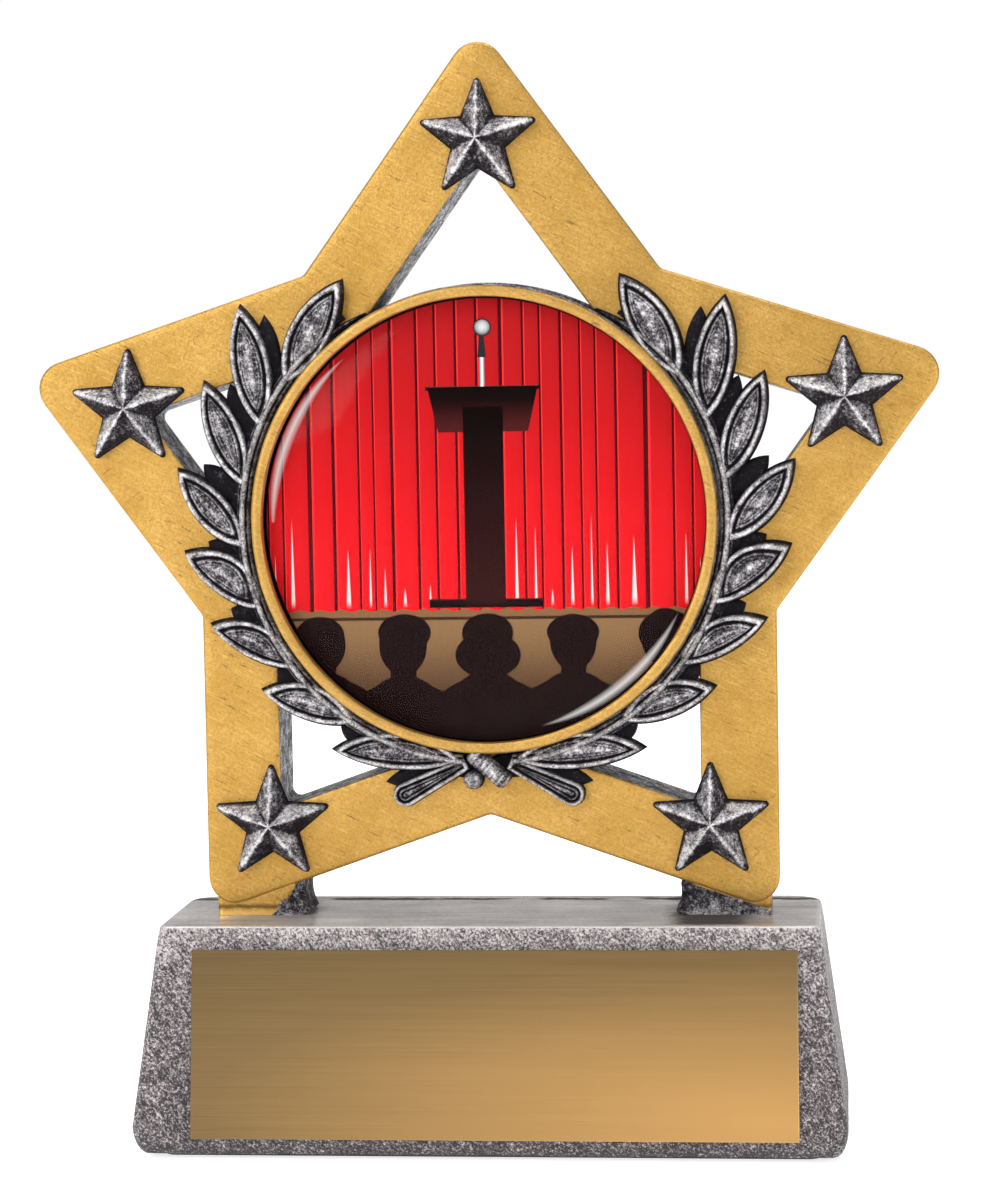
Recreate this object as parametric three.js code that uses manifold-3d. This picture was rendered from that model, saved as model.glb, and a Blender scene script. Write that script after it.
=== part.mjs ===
// Star trophy: an open five-pointed star on two feet and a drafted base, with a domed picture disc in a cup,
// a laurel wreath, five small faceted stars and an engraving plate. Millimetres, +Z up, front towards -Y.
// The origin is the middle of the underside.
import * as THREE from 'three';
import { mergeVertices } from 'three/addons/utils/BufferGeometryUtils.js';
import Module from 'manifold-3d';

const wasm = await Module();
wasm.setup();

// ---------------------------------------------------------------- driving dimensions (mm, degrees)

// base
const padThickness = 0.6;
const padInset = 2.0; // how far the pad stays inside the underside
const baseHeight = 25.7; // top face above the surface that the trophy stands on
const girthHeight = 3.6; // where the block is widest
const girthWidth = 79.4;
const girthDepth = 29.3;
const topWidth = 73.7;
const topDepth = 21.7;
const underTuck = 1.0; // how far the underside pulls in below the girth
const underTuckMiddle = 0.25; // how far a level a third of the way up still pulls in
const frontCornerRounding = 1.2;
const rearCornerRounding = 3.5;

// engraving plate on the sloped front
const plateWidth = 67.2;
const plateHeight = 20.8; // measured along the slope
const plateThickness = 0.5;
const plateFilm = 0.2;
const plateCentreHeight = 12.9;
const plateOffset = 0.8; // the plate sits a little right of centre

// star frame
const starTipRadius = 55.2; // centre to a sharp tip, before rounding
const starNotchRadius = 34.1;
const lowerNotchRadius = 33.3; // the notch over the base is cut a little deeper
const starTipRounding = 3.1;
const starNotchRounding = 1.2;
const frameBand = 8.7; // flat width between the outer edge and the openings
const openingRounding = 0.9;
const frameThickness = 7.6;
const frameDraft = 0.5; // the back outline is this much inside the front one
const openingDraft = 0.2; // and the openings are this much narrower at the back
const hubWeb = 2.0; // plate that closes the hub behind the cup
const hubLip = 0.3; // how far the web shows outside the cup

// feet and pins
const footGap = 1.2; // rounded star tip above the base
const footInner = 21.4; // inner face of a foot, from the middle of the trophy
const footOuter = 31.4;
const footSetback = 0.6; // foot faces behind the frame's front and back
const pinDiameter = 3.0;
const pinFromCentre = 27.6;
const pinInBase = 8.0;
const pinInLeg = 6.5;

// picture disc and its cup
const discRadius = 24.8;
const discPrint = 0.5;
const discPad = 0.8;
const domeEdge = 0.9;
const domeRise = 1.3;
const domeBehindRim = 0.6; // top of the dome behind the rim's front
const cupWall = 1.2;
const rimSetback = 0.15; // gold rim inside the cup's outer edge
const rimHeight = 1.3;
const rimProud = 2.7; // gold rim in front of the frame's face

// laurel wreath
const stemWidth = 1.2;
const stemHeight = 1.9;
const stemPastTop = 6; // degrees that the stem runs on past the top leaf's root
const leafHeight = 1.7;
const leafNear = 0.25; // where along a leaf its edges bulge most: near the root and near the tip
const leafFar = 0.72;
const leafWebHeight = 0.6;
const leafWebWidth = 3.2;
const webPastLeaf = 4; // degrees between the web's lower end and the leaf there
const webShortOfTip = 8; // degrees between the web's upper end and the top leaf's tip
const stemFromMiddle = 2.76; // lower end of a stem, from the middle of the trophy
// from the top down: where the leaf leaves the stem, where its tip points, how far out the tip is as a share
// of the room between cup and corner stars, and how far its left and right edges bulge
const leaves = [
  { root: 35.2, tip: 59.6, reach: 0.54, left: 2.1, right: 2.5 },
  { root: 23.2, tip: 41.7, reach: 1.13, left: 2.3, right: 2.1 },
  { root: 8.4, tip: 26.7, reach: 0.99, left: 2.0, right: 2.0 },
  { root: -5.8, tip: 9.9, reach: 0.98, left: 1.9, right: 2.1 },
  { root: -21.0, tip: -5.6, reach: 0.87, left: 3.0, right: 1.5 },
  { root: -37.2, tip: -20.3, reach: 0.77, left: 2.6, right: 1.3 },
  { root: -56.4, tip: -36.8, reach: 0.61, left: 2.5, right: 1.5 },
  { root: -83.5, tip: -55.9, reach: 0.54, left: 2.5, right: 1.6 },
];

// ribbon under the wreath, placed from the bottom of the cup
const ribbonHeight = 1.7;
const tailLength = 8.6;
const tailWidth = 2.5;
const tailRootWidth = 1.25; // narrower where it leaves the tie
const tailAngle = 27;
const tailStart = 3.0; // from the middle of the trophy
const tailDrop = 1.0; // below the cup's edge
const bandLength = 4.6;
const bandWidth = 1.8;
const bandRounding = 0.3;
const bandHeight = 2.4;
const bandAngle = -41;
const bandDrop = 1.4;
const stemEndRadius = 0.9;
const stemEndSide = 1.7;
const stemEndDrop = 3.0;

// corner stars
const cornerStarInset = 13.0; // centre of a corner star behind the frame's sharp tip
const cornerStarTip = 6.5;
const cornerStarNotch = 2.8;
const cornerStarSkirt = 0.6;
const cornerStarHeight = 3.0;

// clearances and fineness
const fitGap = 0.2; // between pieces that slide into or stand beside each other
const glueGap = 0.05; // between pieces stuck on the slope
const roundSteps = 72;
const pinSteps = 20;
const cornerSteps = 4;
const curveSteps = 6;
const stemSteps = 24;
const domeSteps = 6;

// ---------------------------------------------------------------- finishes

const finishes = {
  gold: { color: 0xdcac58, roughness: 0.42, metalness: 0.85 },
  silver: { color: 0x9a989c, roughness: 0.5, metalness: 0.8 },
  greyLacquer: { color: 0x8d8b8c, roughness: 0.35, metalness: 0.5 },
  brass: { color: 0xa68450, roughness: 0.35, metalness: 0.9 },
  steel: { color: 0xb8babd, roughness: 0.3, metalness: 1.0 },
  felt: { color: 0x18181a, roughness: 0.95, metalness: 0.0 },
  film: { color: 0xe8e6df, roughness: 0.6, metalness: 0.0 },
  print: { color: 0xc8202a, roughness: 0.4, metalness: 0.0 },
  clear: { color: 0xf4f6f8, roughness: 0.05, metalness: 0.0, transparent: true, opacity: 0.35 },
};

// ---------------------------------------------------------------- places worked out from the dimensions

const radians = THREE.MathUtils.degToRad;
const fifth = 360 / 5;
const armAngles = { top: 90, left: 162, lower_left: 234, lower_right: 306, right: 18 };

const frontFace = frameThickness / 2;
const backFace = -frontFace;
const cupRadius = discRadius + fitGap + cupWall;
const boreRadius = cupRadius + fitGap;
const cupBack = backFace + hubWeb;
const rimFront = frontFace + rimProud;
const rimBack = rimFront - rimHeight;
const cupFloorFront = rimFront - domeBehindRim - domeRise - domeEdge - discPrint - discPad;
const stemRadius = cupRadius + fitGap;
const stemOuter = stemRadius + stemWidth;
const cornerStarDistance = starTipRadius - cornerStarInset;
const laurelRoom = cornerStarDistance - cornerStarTip - 3 * fitGap - cupRadius;

// half the angle of a star tip, and the middle of its rounding
const tipHalfAngle = Math.atan2(
  starNotchRadius * Math.sin(radians(fifth / 2)),
  starTipRadius - starNotchRadius * Math.cos(radians(fifth / 2)),
);
const tipRoundingCentre = starTipRadius - starTipRounding / Math.sin(tipHalfAngle);
const starBelowCentre = tipRoundingCentre * Math.sin(radians(armAngles.lower_left - 180)) + starTipRounding;
const starCentreHeight = baseHeight + footGap + starBelowCentre;
const footBottom = baseHeight - starCentreHeight;

// ---------------------------------------------------------------- geometry helpers

function polar(radius, degrees) {
  return new THREE.Vector2(radius * Math.cos(radians(degrees)), radius * Math.sin(radians(degrees)));
}

// a closed outline whose corners { x, y, rounding } are rounded with arcs
function roundedOutline(corners) {
  const shape = new THREE.Shape();
  corners.forEach((corner, i) => {
    const here = new THREE.Vector2(corner.x, corner.y);
    const before = corners[(i + corners.length - 1) % corners.length];
    const after = corners[(i + 1) % corners.length];
    const toBefore = new THREE.Vector2(before.x, before.y).sub(here).normalize();
    const toAfter = new THREE.Vector2(after.x, after.y).sub(here).normalize();
    const half = Math.acos(THREE.MathUtils.clamp(toBefore.dot(toAfter), -1, 1)) / 2;
    const start = here.clone().addScaledVector(toBefore, corner.rounding / Math.tan(half));
    const end = here.clone().addScaledVector(toAfter, corner.rounding / Math.tan(half));
    const bisector = toBefore.clone().add(toAfter).normalize();
    const centre = here.clone().addScaledVector(bisector, corner.rounding / Math.sin(half));
    const from = start.clone().sub(centre).angle();
    const to = end.clone().sub(centre).angle();
    const clockwise = toBefore.cross(toAfter) > 0;
    if (i === 0) shape.moveTo(start.x, start.y);
    else shape.lineTo(start.x, start.y);
    shape.absarc(centre.x, centre.y, corner.rounding, from, to, clockwise);
  });
  shape.closePath();
  return shape;
}

// the corners of a five-pointed star whose edges are moved in by inset, from the top tip on
function starCorners(inset, tipRounding, notchRounding) {
  const sharp = [];
  for (let i = 0; i < 10; i += 1) {
    const angle = 90 + (i * fifth) / 2;
    const isLowerNotch = i === 5;
    const notch = isLowerNotch ? lowerNotchRadius : starNotchRadius;
    sharp.push(polar(i % 2 === 0 ? starTipRadius : notch, angle));
  }
  return sharp.map((here, i) => {
    const before = sharp[(i + 9) % 10];
    const after = sharp[(i + 1) % 10];
    const moved = insetCorner(before, here, after, inset);
    return { x: moved.x, y: moved.y, rounding: i % 2 === 0 ? tipRounding : notchRounding };
  });
}

// the corner between two edges of a counter-clockwise outline after both edges move in
function insetCorner(before, here, after, inset) {
  const edgeIn = here.clone().sub(before).normalize();
  const edgeOut = after.clone().sub(here).normalize();
  const normalIn = new THREE.Vector2(-edgeIn.y, edgeIn.x);
  const normalOut = new THREE.Vector2(-edgeOut.y, edgeOut.x);
  const bisector = normalIn.clone().add(normalOut).normalize();
  return here.clone().addScaledVector(bisector, inset / bisector.dot(normalIn));
}

function extrude(shape, from, to, steps = cornerSteps) {
  const geometry = new THREE.ExtrudeGeometry(shape, {
    depth: to - from,
    bevelEnabled: false,
    curveSegments: steps,
  });
  return geometry.translate(0, 0, from);
}

// a body of revolution about the local Z axis from { radius, z } points, counter-clockwise
function turned(points, steps = roundSteps) {
  const profile = points.map(([radius, z]) => new THREE.Vector2(radius, z));
  return new THREE.LatheGeometry(profile, steps).rotateX(Math.PI / 2);
}

function disc(radius, from, to, steps = roundSteps) {
  return turned([[0, from], [radius, from], [radius, to], [0, to]], steps);
}

// a slice of a flat ring
function ringSlice(inner, outer, fromDegrees, toDegrees) {
  const shape = new THREE.Shape();
  shape.absarc(0, 0, outer, radians(fromDegrees), radians(toDegrees), false);
  shape.absarc(0, 0, inner, radians(toDegrees), radians(fromDegrees), true);
  shape.closePath();
  return shape;
}

function withoutAttributes(geometry) {
  const plain = geometry.clone();
  plain.deleteAttribute('normal');
  plain.deleteAttribute('uv');
  return mergeVertices(plain, 1e-5);
}

// a closed geometry as a solid that can be joined and cut
function solid(geometry) {
  const merged = withoutAttributes(geometry);
  const index = merged.index.array;
  const triangles = [];
  for (let i = 0; i < index.length; i += 3) {
    const [a, b, c] = [index[i], index[i + 1], index[i + 2]];
    if (a !== b && b !== c && c !== a) triangles.push(a, b, c);
  }
  return new wasm.Manifold(new wasm.Mesh({
    numProp: 3,
    vertProperties: new Float32Array(merged.attributes.position.array),
    triVerts: new Uint32Array(triangles),
  }));
}

function geometryOf(body) {
  const mesh = body.getMesh();
  const geometry = new THREE.BufferGeometry();
  geometry.setAttribute('position', new THREE.BufferAttribute(new Float32Array(mesh.vertProperties), 3));
  geometry.setIndex(new THREE.BufferAttribute(new Uint32Array(mesh.triVerts), 1));
  geometry.computeVertexNormals();
  return geometry;
}

function joined(geometries) {
  return geometries.map(solid).reduce((whole, next) => whole.add(next));
}

function mirroredX(geometry) {
  return geometryOf(solid(geometry).mirror([1, 0, 0]));
}

function piece(name, geometry, finish) {
  const mesh = new THREE.Mesh(geometry, new THREE.MeshStandardMaterial(finishes[finish]));
  mesh.name = name;
  return mesh;
}

// the points of a rounded outline at one height, for a loft
function level(corners, z) {
  const points = roundedOutline(corners).getPoints(cornerSteps);
  const ring = points.filter((point, i) => i === 0 || point.distanceTo(points[i - 1]) > 1e-6);
  if (ring[0].distanceTo(ring[ring.length - 1]) < 1e-6) ring.pop();
  return ring.map((point) => new THREE.Vector3(point.x, point.y, z));
}

// a closed skin over rings of equal length, with fans at both ends
function loft(levels) {
  const count = levels[0].length;
  const positions = levels.flat().flatMap((point) => [point.x, point.y, point.z]);
  const triangles = [];
  for (let level = 0; level + 1 < levels.length; level += 1) {
    for (let i = 0; i < count; i += 1) {
      const a = level * count + i;
      const b = level * count + ((i + 1) % count);
      triangles.push(a, b, b + count, a, b + count, a + count);
    }
  }
  const bottom = positions.length / 3;
  positions.push(0, 0, levels[0][0].z);
  const top = positions.length / 3;
  positions.push(0, 0, levels[levels.length - 1][0].z);
  const lastRing = (levels.length - 1) * count;
  for (let i = 0; i < count; i += 1) {
    const next = (i + 1) % count;
    triangles.push(bottom, next, i, top, lastRing + i, lastRing + next);
  }
  const geometry = new THREE.BufferGeometry();
  geometry.setAttribute('position', new THREE.Float32BufferAttribute(positions, 3));
  geometry.setIndex(triangles);
  geometry.computeVertexNormals();
  return geometry;
}

// ---------------------------------------------------------------- base, pad and plate (trophy's own frame)

// one level of the block: a rectangle with rounded corners, counter-clockwise from above
function blockLevel(width, depth, z) {
  const x = width / 2;
  const y = depth / 2;
  return level([
    { x, y: -y, rounding: frontCornerRounding },
    { x, y, rounding: rearCornerRounding },
    { x: -x, y, rounding: rearCornerRounding },
    { x: -x, y: -y, rounding: frontCornerRounding },
  ], z);
}

function baseBlock() {
  const tuckHeight = padThickness + (girthHeight - padThickness) / 3;
  const block = solid(loft([
    blockLevel(girthWidth - 2 * underTuck, girthDepth - 2 * underTuck, padThickness),
    blockLevel(girthWidth - 2 * underTuckMiddle, girthDepth - 2 * underTuckMiddle, tuckHeight),
    blockLevel(girthWidth, girthDepth, girthHeight),
    blockLevel(topWidth, topDepth, baseHeight),
  ]));
  const socketBottom = baseHeight - pinInBase - fitGap;
  const socket = disc(pinDiameter / 2 + fitGap, socketBottom, baseHeight + 1, pinSteps);
  const left = solid(socket.clone().translate(-pinFromCentre, 0, 0));
  const right = solid(socket.clone().translate(pinFromCentre, 0, 0));
  return geometryOf(block.subtract(left).subtract(right));
}

function feltPad() {
  const width = girthWidth - 2 * (underTuck + padInset);
  const depth = girthDepth - 2 * (underTuck + padInset);
  return loft([blockLevel(width, depth, 0), blockLevel(width, depth, padThickness)]);
}

// a flat slab lying on the sloped front between two distances in front of it
function frontSlab(from, to) {
  const up = new THREE.Vector2((girthDepth - topDepth) / 2, baseHeight - girthHeight).normalize();
  const out = new THREE.Vector2(-up.y, up.x);
  const faceAt = (height) => -girthDepth / 2 + ((height - girthHeight) * up.x) / up.y;
  const centre = new THREE.Vector2(faceAt(plateCentreHeight), plateCentreHeight);
  const at = (along, proud) => centre.clone().addScaledVector(up, along).addScaledVector(out, proud);
  const half = plateHeight / 2;
  const section = new THREE.Shape([at(-half, from), at(half, from), at(half, to), at(-half, to)]);
  const slab = extrude(section, -plateWidth / 2, plateWidth / 2);
  // the section lies in (y, z): turn the extrusion axis onto X
  slab.applyMatrix4(new THREE.Matrix4().set(0, 0, 1, plateOffset, 1, 0, 0, 0, 0, 1, 0, 0, 0, 0, 0, 1));
  return slab;
}

// ---------------------------------------------------------------- star, feet and pins (front view frame)
// In the front view frame X runs right, Y up and Z out of the front face, from the star's middle.

// a star-shaped block whose edges move in by draft from front to back; it runs past both faces by margin
function draftedStar(inset, draft, tipRounding, notchRounding, margin) {
  const slope = draft / frameThickness;
  const back = starCorners(inset + draft + slope * margin, tipRounding, notchRounding);
  const front = starCorners(inset - slope * margin, tipRounding, notchRounding);
  return solid(loft([level(back, backFace - margin), level(front, frontFace + margin)]));
}

function starFrame() {
  const outer = draftedStar(0, frameDraft, starTipRounding, starNotchRounding, 0);
  const openings = draftedStar(frameBand, openingDraft, openingRounding, openingRounding, 1);
  const bore = disc(boreRadius, backFace - 1, frontFace + 1);
  const hub = disc(cupRadius + hubLip, backFace, cupBack);
  return outer.subtract(openings).subtract(solid(bore)).add(solid(hub));
}

// a pin or its hole, standing on the base, on the side given by the sign
function pinBody(side, radius, bottom, top) {
  const body = disc(radius, bottom, top, pinSteps).rotateX(-Math.PI / 2);
  return body.translate(side * pinFromCentre, 0, 0);
}

const legTipHeight = footBottom + footGap;
const pinBottom = footBottom - pinInBase;
const pinTop = legTipHeight + pinInLeg;

function pinHoles() {
  const hole = (side) => solid(pinBody(side, pinDiameter / 2 + fitGap, footBottom - 1, pinTop + fitGap));
  return hole(-1).add(hole(1));
}

// a wedge that fills the space between the base and the lower edge of a leg
function foot(side) {
  const aboveLeg = footBottom + starNotchRadius / 2;
  const block = new THREE.Shape([
    new THREE.Vector2(footInner, footBottom),
    new THREE.Vector2(footOuter, footBottom),
    new THREE.Vector2(footOuter, aboveLeg),
    new THREE.Vector2(footInner, aboveLeg),
  ]);
  const wedge = solid(extrude(block, backFace + footSetback, frontFace - footSetback));
  const leg = draftedStar(-fitGap, frameDraft, starTipRounding + fitGap, starNotchRounding, 1);
  const placed = side < 0 ? wedge.mirror([1, 0, 0]) : wedge;
  const trimmed = placed.subtract(leg).subtract(pinHoles());
  // what is left above the leg is not part of the foot
  const parts = trimmed.decompose();
  return parts.reduce((lowest, next) => (lowestY(next) < lowestY(lowest) ? next : lowest));
}

function lowestY(body) {
  return body.boundingBox().min[1];
}

// ---------------------------------------------------------------- disc, cup and rim (front view frame)

function discCup() {
  const recess = discRadius + fitGap;
  return turned([
    [0, cupBack],
    [cupRadius, cupBack],
    [cupRadius, rimBack],
    [recess, rimBack],
    [recess, cupFloorFront],
    [0, cupFloorFront],
  ]);
}

function goldRim() {
  const outer = cupRadius - rimSetback;
  const inner = discRadius + fitGap;
  return turned([[inner, rimBack], [outer, rimBack], [outer, rimFront], [inner, rimFront], [inner, rimBack]]);
}

function domeLens(from) {
  const points = [[0, from], [discRadius, from], [discRadius, from + domeEdge]];
  for (let i = 1; i <= domeSteps; i += 1) {
    const radius = discRadius * (1 - i / domeSteps);
    points.push([radius, from + domeEdge + domeRise * (1 - (radius / discRadius) ** 2)]);
  }
  return turned(points);
}

// ---------------------------------------------------------------- laurel and ribbon (front view frame)

// a pointed leaf outline from root to tip, bulging left and right of the line between them
function leafShape(leaf) {
  const root = polar(stemRadius + stemWidth / 2, leaf.root);
  const tip = polar(cupRadius + leaf.reach * laurelRoom, leaf.tip);
  const along = tip.clone().sub(root);
  const left = new THREE.Vector2(-along.y, along.x).normalize();
  // a cubic with both handles pushed out by 4/3 of the bulge passes through the bulge
  const handle = (share, bulge) =>
    root.clone().addScaledVector(along, share).addScaledVector(left, (bulge * 4) / 3);
  const rightNear = handle(leafNear, -leaf.right);
  const rightFar = handle(leafFar, -leaf.right);
  const leftFar = handle(leafFar, leaf.left);
  const leftNear = handle(leafNear, leaf.left);
  const shape = new THREE.Shape();
  shape.moveTo(root.x, root.y);
  shape.bezierCurveTo(rightNear.x, rightNear.y, rightFar.x, rightFar.y, tip.x, tip.y);
  shape.bezierCurveTo(leftFar.x, leftFar.y, leftNear.x, leftNear.y, root.x, root.y);
  return shape;
}

// everything in front of the frame stays clear of the cup
function cupSpace() {
  return solid(disc(stemRadius, backFace, rimFront + 1));
}

// the right branch; the part of a leaf that would lie under the cup is cut away
function laurelBranch() {
  const first = leaves[0];
  const lastOnFrame = leaves[leaves.length - 2];
  const stemStart = -THREE.MathUtils.radToDeg(Math.acos(stemFromMiddle / stemRadius));
  const stemSlice = ringSlice(stemRadius, stemOuter, stemStart, first.root + stemPastTop);
  const stem = extrude(stemSlice, frontFace, frontFace + stemHeight, stemSteps);
  const [webStart, webEnd] = [lastOnFrame.root + webPastLeaf, first.tip - webShortOfTip];
  const webSlice = ringSlice(stemRadius, stemRadius + leafWebWidth, webStart, webEnd);
  const web = extrude(webSlice, frontFace, frontFace + leafWebHeight, stemSteps);
  const leafFront = frontFace + leafHeight;
  const blades = leaves.map((leaf) => extrude(leafShape(leaf), frontFace, leafFront, curveSteps));
  return joined([stem, web, ...blades]).subtract(cupSpace()).subtract(solid(ribbonBand(fitGap)));
}

// a strap with one round end that runs down and out from the tie
function ribbonTail() {
  const half = tailWidth / 2;
  const shape = new THREE.Shape();
  shape.moveTo(0, -tailRootWidth / 2);
  shape.lineTo(tailLength - half, -half);
  shape.absarc(tailLength - half, 0, half, -Math.PI / 2, Math.PI / 2, false);
  shape.lineTo(0, tailRootWidth / 2);
  shape.closePath();
  const strap = extrude(shape, frontFace, frontFace + ribbonHeight, curveSteps);
  strap.rotateZ(radians(-tailAngle)).translate(tailStart, -(cupRadius + tailDrop), 0);
  return strap;
}

function ribbonBand(grow = 0) {
  const along = bandLength / 2 + grow;
  const across = bandWidth / 2 + grow;
  const corners = [[-1, -1], [1, -1], [1, 1], [-1, 1]];
  const outline = corners.map(([u, v]) => ({ x: u * along, y: v * across, rounding: bandRounding }));
  const band = extrude(roundedOutline(outline), frontFace, frontFace + bandHeight + grow);
  return band.rotateZ(radians(bandAngle)).translate(0, -(cupRadius + fitGap + bandDrop), 0);
}

function stemEnd() {
  const stub = disc(stemEndRadius, frontFace, frontFace + ribbonHeight, pinSteps);
  return stub.translate(-stemEndSide, -(cupRadius + stemEndDrop), 0);
}

// ---------------------------------------------------------------- corner stars (front view frame)

function cornerStar() {
  const ring = [];
  for (let i = 0; i < 10; i += 1) {
    ring.push(polar(i % 2 === 0 ? cornerStarTip : cornerStarNotch, 90 + (i * fifth) / 2));
  }
  const skirt = [0, cornerStarSkirt].map((z) => ring.map((point) => new THREE.Vector3(point.x, point.y, z)));
  const geometry = loft(skirt);
  // the middle of the upper fan is lifted, so that every arm gets a ridge
  const position = geometry.attributes.position;
  position.setZ(position.count - 1, cornerStarHeight);
  return geometry;
}

// ---------------------------------------------------------------- assembly

const filmFront = glueGap + plateFilm;
const plateBack = filmFront + glueGap;
const trophy = new THREE.Group();
trophy.add(
  piece('base_block', baseBlock(), 'greyLacquer'),
  piece('felt_pad', feltPad(), 'felt'),
  piece('plate_adhesive', frontSlab(glueGap, filmFront), 'film'),
  piece('engraving_plate', frontSlab(plateBack, plateBack + plateThickness), 'brass'),
);

const frontView = new THREE.Group();
frontView.rotation.x = Math.PI / 2;
frontView.position.z = starCentreHeight;
trophy.add(frontView);

const padFront = cupFloorFront + discPad;
const printFront = padFront + discPrint;
frontView.add(
  piece('star_frame', geometryOf(starFrame().subtract(pinHoles())), 'gold'),
  piece('disc_cup', discCup(), 'silver'),
  piece('gold_rim', goldRim(), 'gold'),
  piece('disc_adhesive', disc(discRadius, cupFloorFront, padFront), 'film'),
  piece('picture_disc', disc(discRadius, padFront, printFront), 'print'),
  piece('dome_lens', domeLens(printFront), 'clear'),
  piece('ribbon_band', geometryOf(solid(ribbonBand()).subtract(cupSpace())), 'silver'),
);

const stub = solid(stemEnd()).subtract(solid(ribbonBand(fitGap)));
const branch = laurelBranch();
const branches = branch.add(branch.mirror([1, 0, 0]));
const tailSpace = branches.add(solid(ribbonBand(fitGap))).add(solid(stemEnd())).add(cupSpace());
frontView.add(piece('stem_end', geometryOf(stub), 'silver'));

for (const [name, side] of [['left', -1], ['right', 1]]) {
  const tail = side < 0 ? mirroredX(ribbonTail()) : ribbonTail();
  frontView.add(
    piece(`foot_${name}`, geometryOf(foot(side)), 'silver'),
    piece(`pin_${name}`, pinBody(side, pinDiameter / 2, pinBottom, pinTop), 'steel'),
    piece(`laurel_${name}`, geometryOf(side < 0 ? branch.mirror([1, 0, 0]) : branch), 'silver'),
    piece(`ribbon_tail_${name}`, geometryOf(solid(tail).subtract(tailSpace)), 'silver'),
  );
}

for (const [name, angle] of Object.entries(armAngles)) {
  const star = piece(`corner_star_${name}`, cornerStar(), 'silver');
  const place = polar(cornerStarDistance, angle);
  star.position.set(place.x, place.y, frontFace);
  frontView.add(star);
}

export default trophy;
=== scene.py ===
import math

import bmesh
import bpy
import numpy as np
from mathutils import Matrix, Vector, noise


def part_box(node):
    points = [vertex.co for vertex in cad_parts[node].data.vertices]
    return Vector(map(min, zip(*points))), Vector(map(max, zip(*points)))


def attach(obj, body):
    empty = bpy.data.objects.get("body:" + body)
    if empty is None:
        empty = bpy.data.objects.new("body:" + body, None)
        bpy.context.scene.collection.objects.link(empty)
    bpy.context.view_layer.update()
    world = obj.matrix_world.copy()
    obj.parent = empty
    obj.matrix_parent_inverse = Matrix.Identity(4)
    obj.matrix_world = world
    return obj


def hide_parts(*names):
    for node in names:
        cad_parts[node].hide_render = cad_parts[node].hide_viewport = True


# Star trophy: an open gold star on two silver feet and a grey base, a domed theatre picture in a gold rim,
# a silver laurel wreath with its ribbon, five small silver stars and a blank brass plate.

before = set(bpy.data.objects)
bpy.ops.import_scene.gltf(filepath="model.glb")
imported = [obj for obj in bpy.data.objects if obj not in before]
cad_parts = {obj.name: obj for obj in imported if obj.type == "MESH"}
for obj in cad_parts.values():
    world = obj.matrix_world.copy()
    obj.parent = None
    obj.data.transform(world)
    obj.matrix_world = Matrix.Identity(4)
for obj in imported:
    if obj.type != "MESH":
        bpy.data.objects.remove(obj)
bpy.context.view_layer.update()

MM = 0.001


# ------------------------------------------------------------ places, read from the frame, in millimetres

def low(node):
    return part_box(node)[0] / MM


def high(node):
    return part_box(node)[1] / MM


STAR_MIDDLE = (low("picture_disc").z + high("picture_disc").z) / 2
FACE = low("star_frame").y
BACK = FACE - high("star_frame").y  # behind the face, as a negative height
CUP_RADIUS = high("disc_cup").x
CUP_BACK = FACE - high("disc_cup").y
DISC_RADIUS = high("picture_disc").x
RIM_BACK = FACE - high("gold_rim").y
RIM_FRONT = FACE - low("gold_rim").y
RIM_RADIUS = high("gold_rim").x
PRINT_BACK = FACE - high("picture_disc").y
PRINT_FRONT = FACE - low("picture_disc").y
DOME_FRONT = FACE - low("dome_lens").y
BASE_BOTTOM = low("base_block").z
BASE_TOP = high("base_block").z
GIRTH = high("base_block") - low("base_block")
FOOT_BACK = FACE - high("foot_right").y
FOOT_FRONT = FACE - low("foot_right").y
FOOT_INNER = low("foot_right").x
FOOT_OUTER = high("foot_right").x

# star outline, as the frame was cut
STAR_TIP = 55.2
STAR_NOTCH = 34.1
LOWER_NOTCH = 33.3
TIP_ROUNDING = 3.1
NOTCH_ROUNDING = 1.2
BAND = 8.7
OPENING_ROUNDING = 0.9
OUTER_DRAFT = 0.5
OPENING_DRAFT = 0.2
BORE = CUP_RADIUS + 0.2
HUB_RADIUS = CUP_RADIUS + 0.3
HUB_FRONT = CUP_BACK
FACET_DROP = 0.42  # the face falls this much from the openings to the outer edge
FIFTH = 72
MESH_TIE = 2e-6  # points closer than this, in metres, are one

# base block
GIRTH_HEIGHT = 3.6
TOP_WIDTH = 73.7
TOP_DEPTH = 21.7
FRONT_CORNER = 1.2
REAR_CORNER = 3.5
SEAM_START = 7.2  # the seam in the lacquer runs along the rear of the top
SEAM_END = 9.2
PLATE_THICKNESS = 0.5
PAINTED_SHEEN_CORNER = (32.0, 4.5)  # painted sheen on the plate: where it is brightest, and how far that fades to the left and upwards
PAINTED_SHEEN_REACH = (68.0, 19.0)
GILT_FROM = 22.0  # the gold of the star runs over the feet from here outwards

# wreath: for each leaf, from the top down, the angle of its root, the angle of its tip, the radius that
# the tip reaches, and how far the outline bulges to its left and right
STEM_INNER = CUP_RADIUS + 0.15
LEAF_ROOT = CUP_RADIUS + 0.8
LEAVES = [
    (35.2, 59.6, 31.0, 2.1, 2.5),
    (23.2, 41.7, 36.3, 2.3, 2.1),
    (8.4, 26.7, 35.0, 2.0, 2.0),
    (-5.8, 9.9, 34.9, 1.9, 2.1),
    (-21.0, -5.6, 34.0, 3.0, 1.5),
    (-37.2, -20.3, 33.1, 2.6, 1.3),
    (-56.4, -36.8, 31.6, 2.5, 1.5),
    (-83.5, -55.9, 31.0, 2.5, 1.6),
]
LEAF_FRONT = 1.8
LEAF_BACK = -1.9

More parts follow.
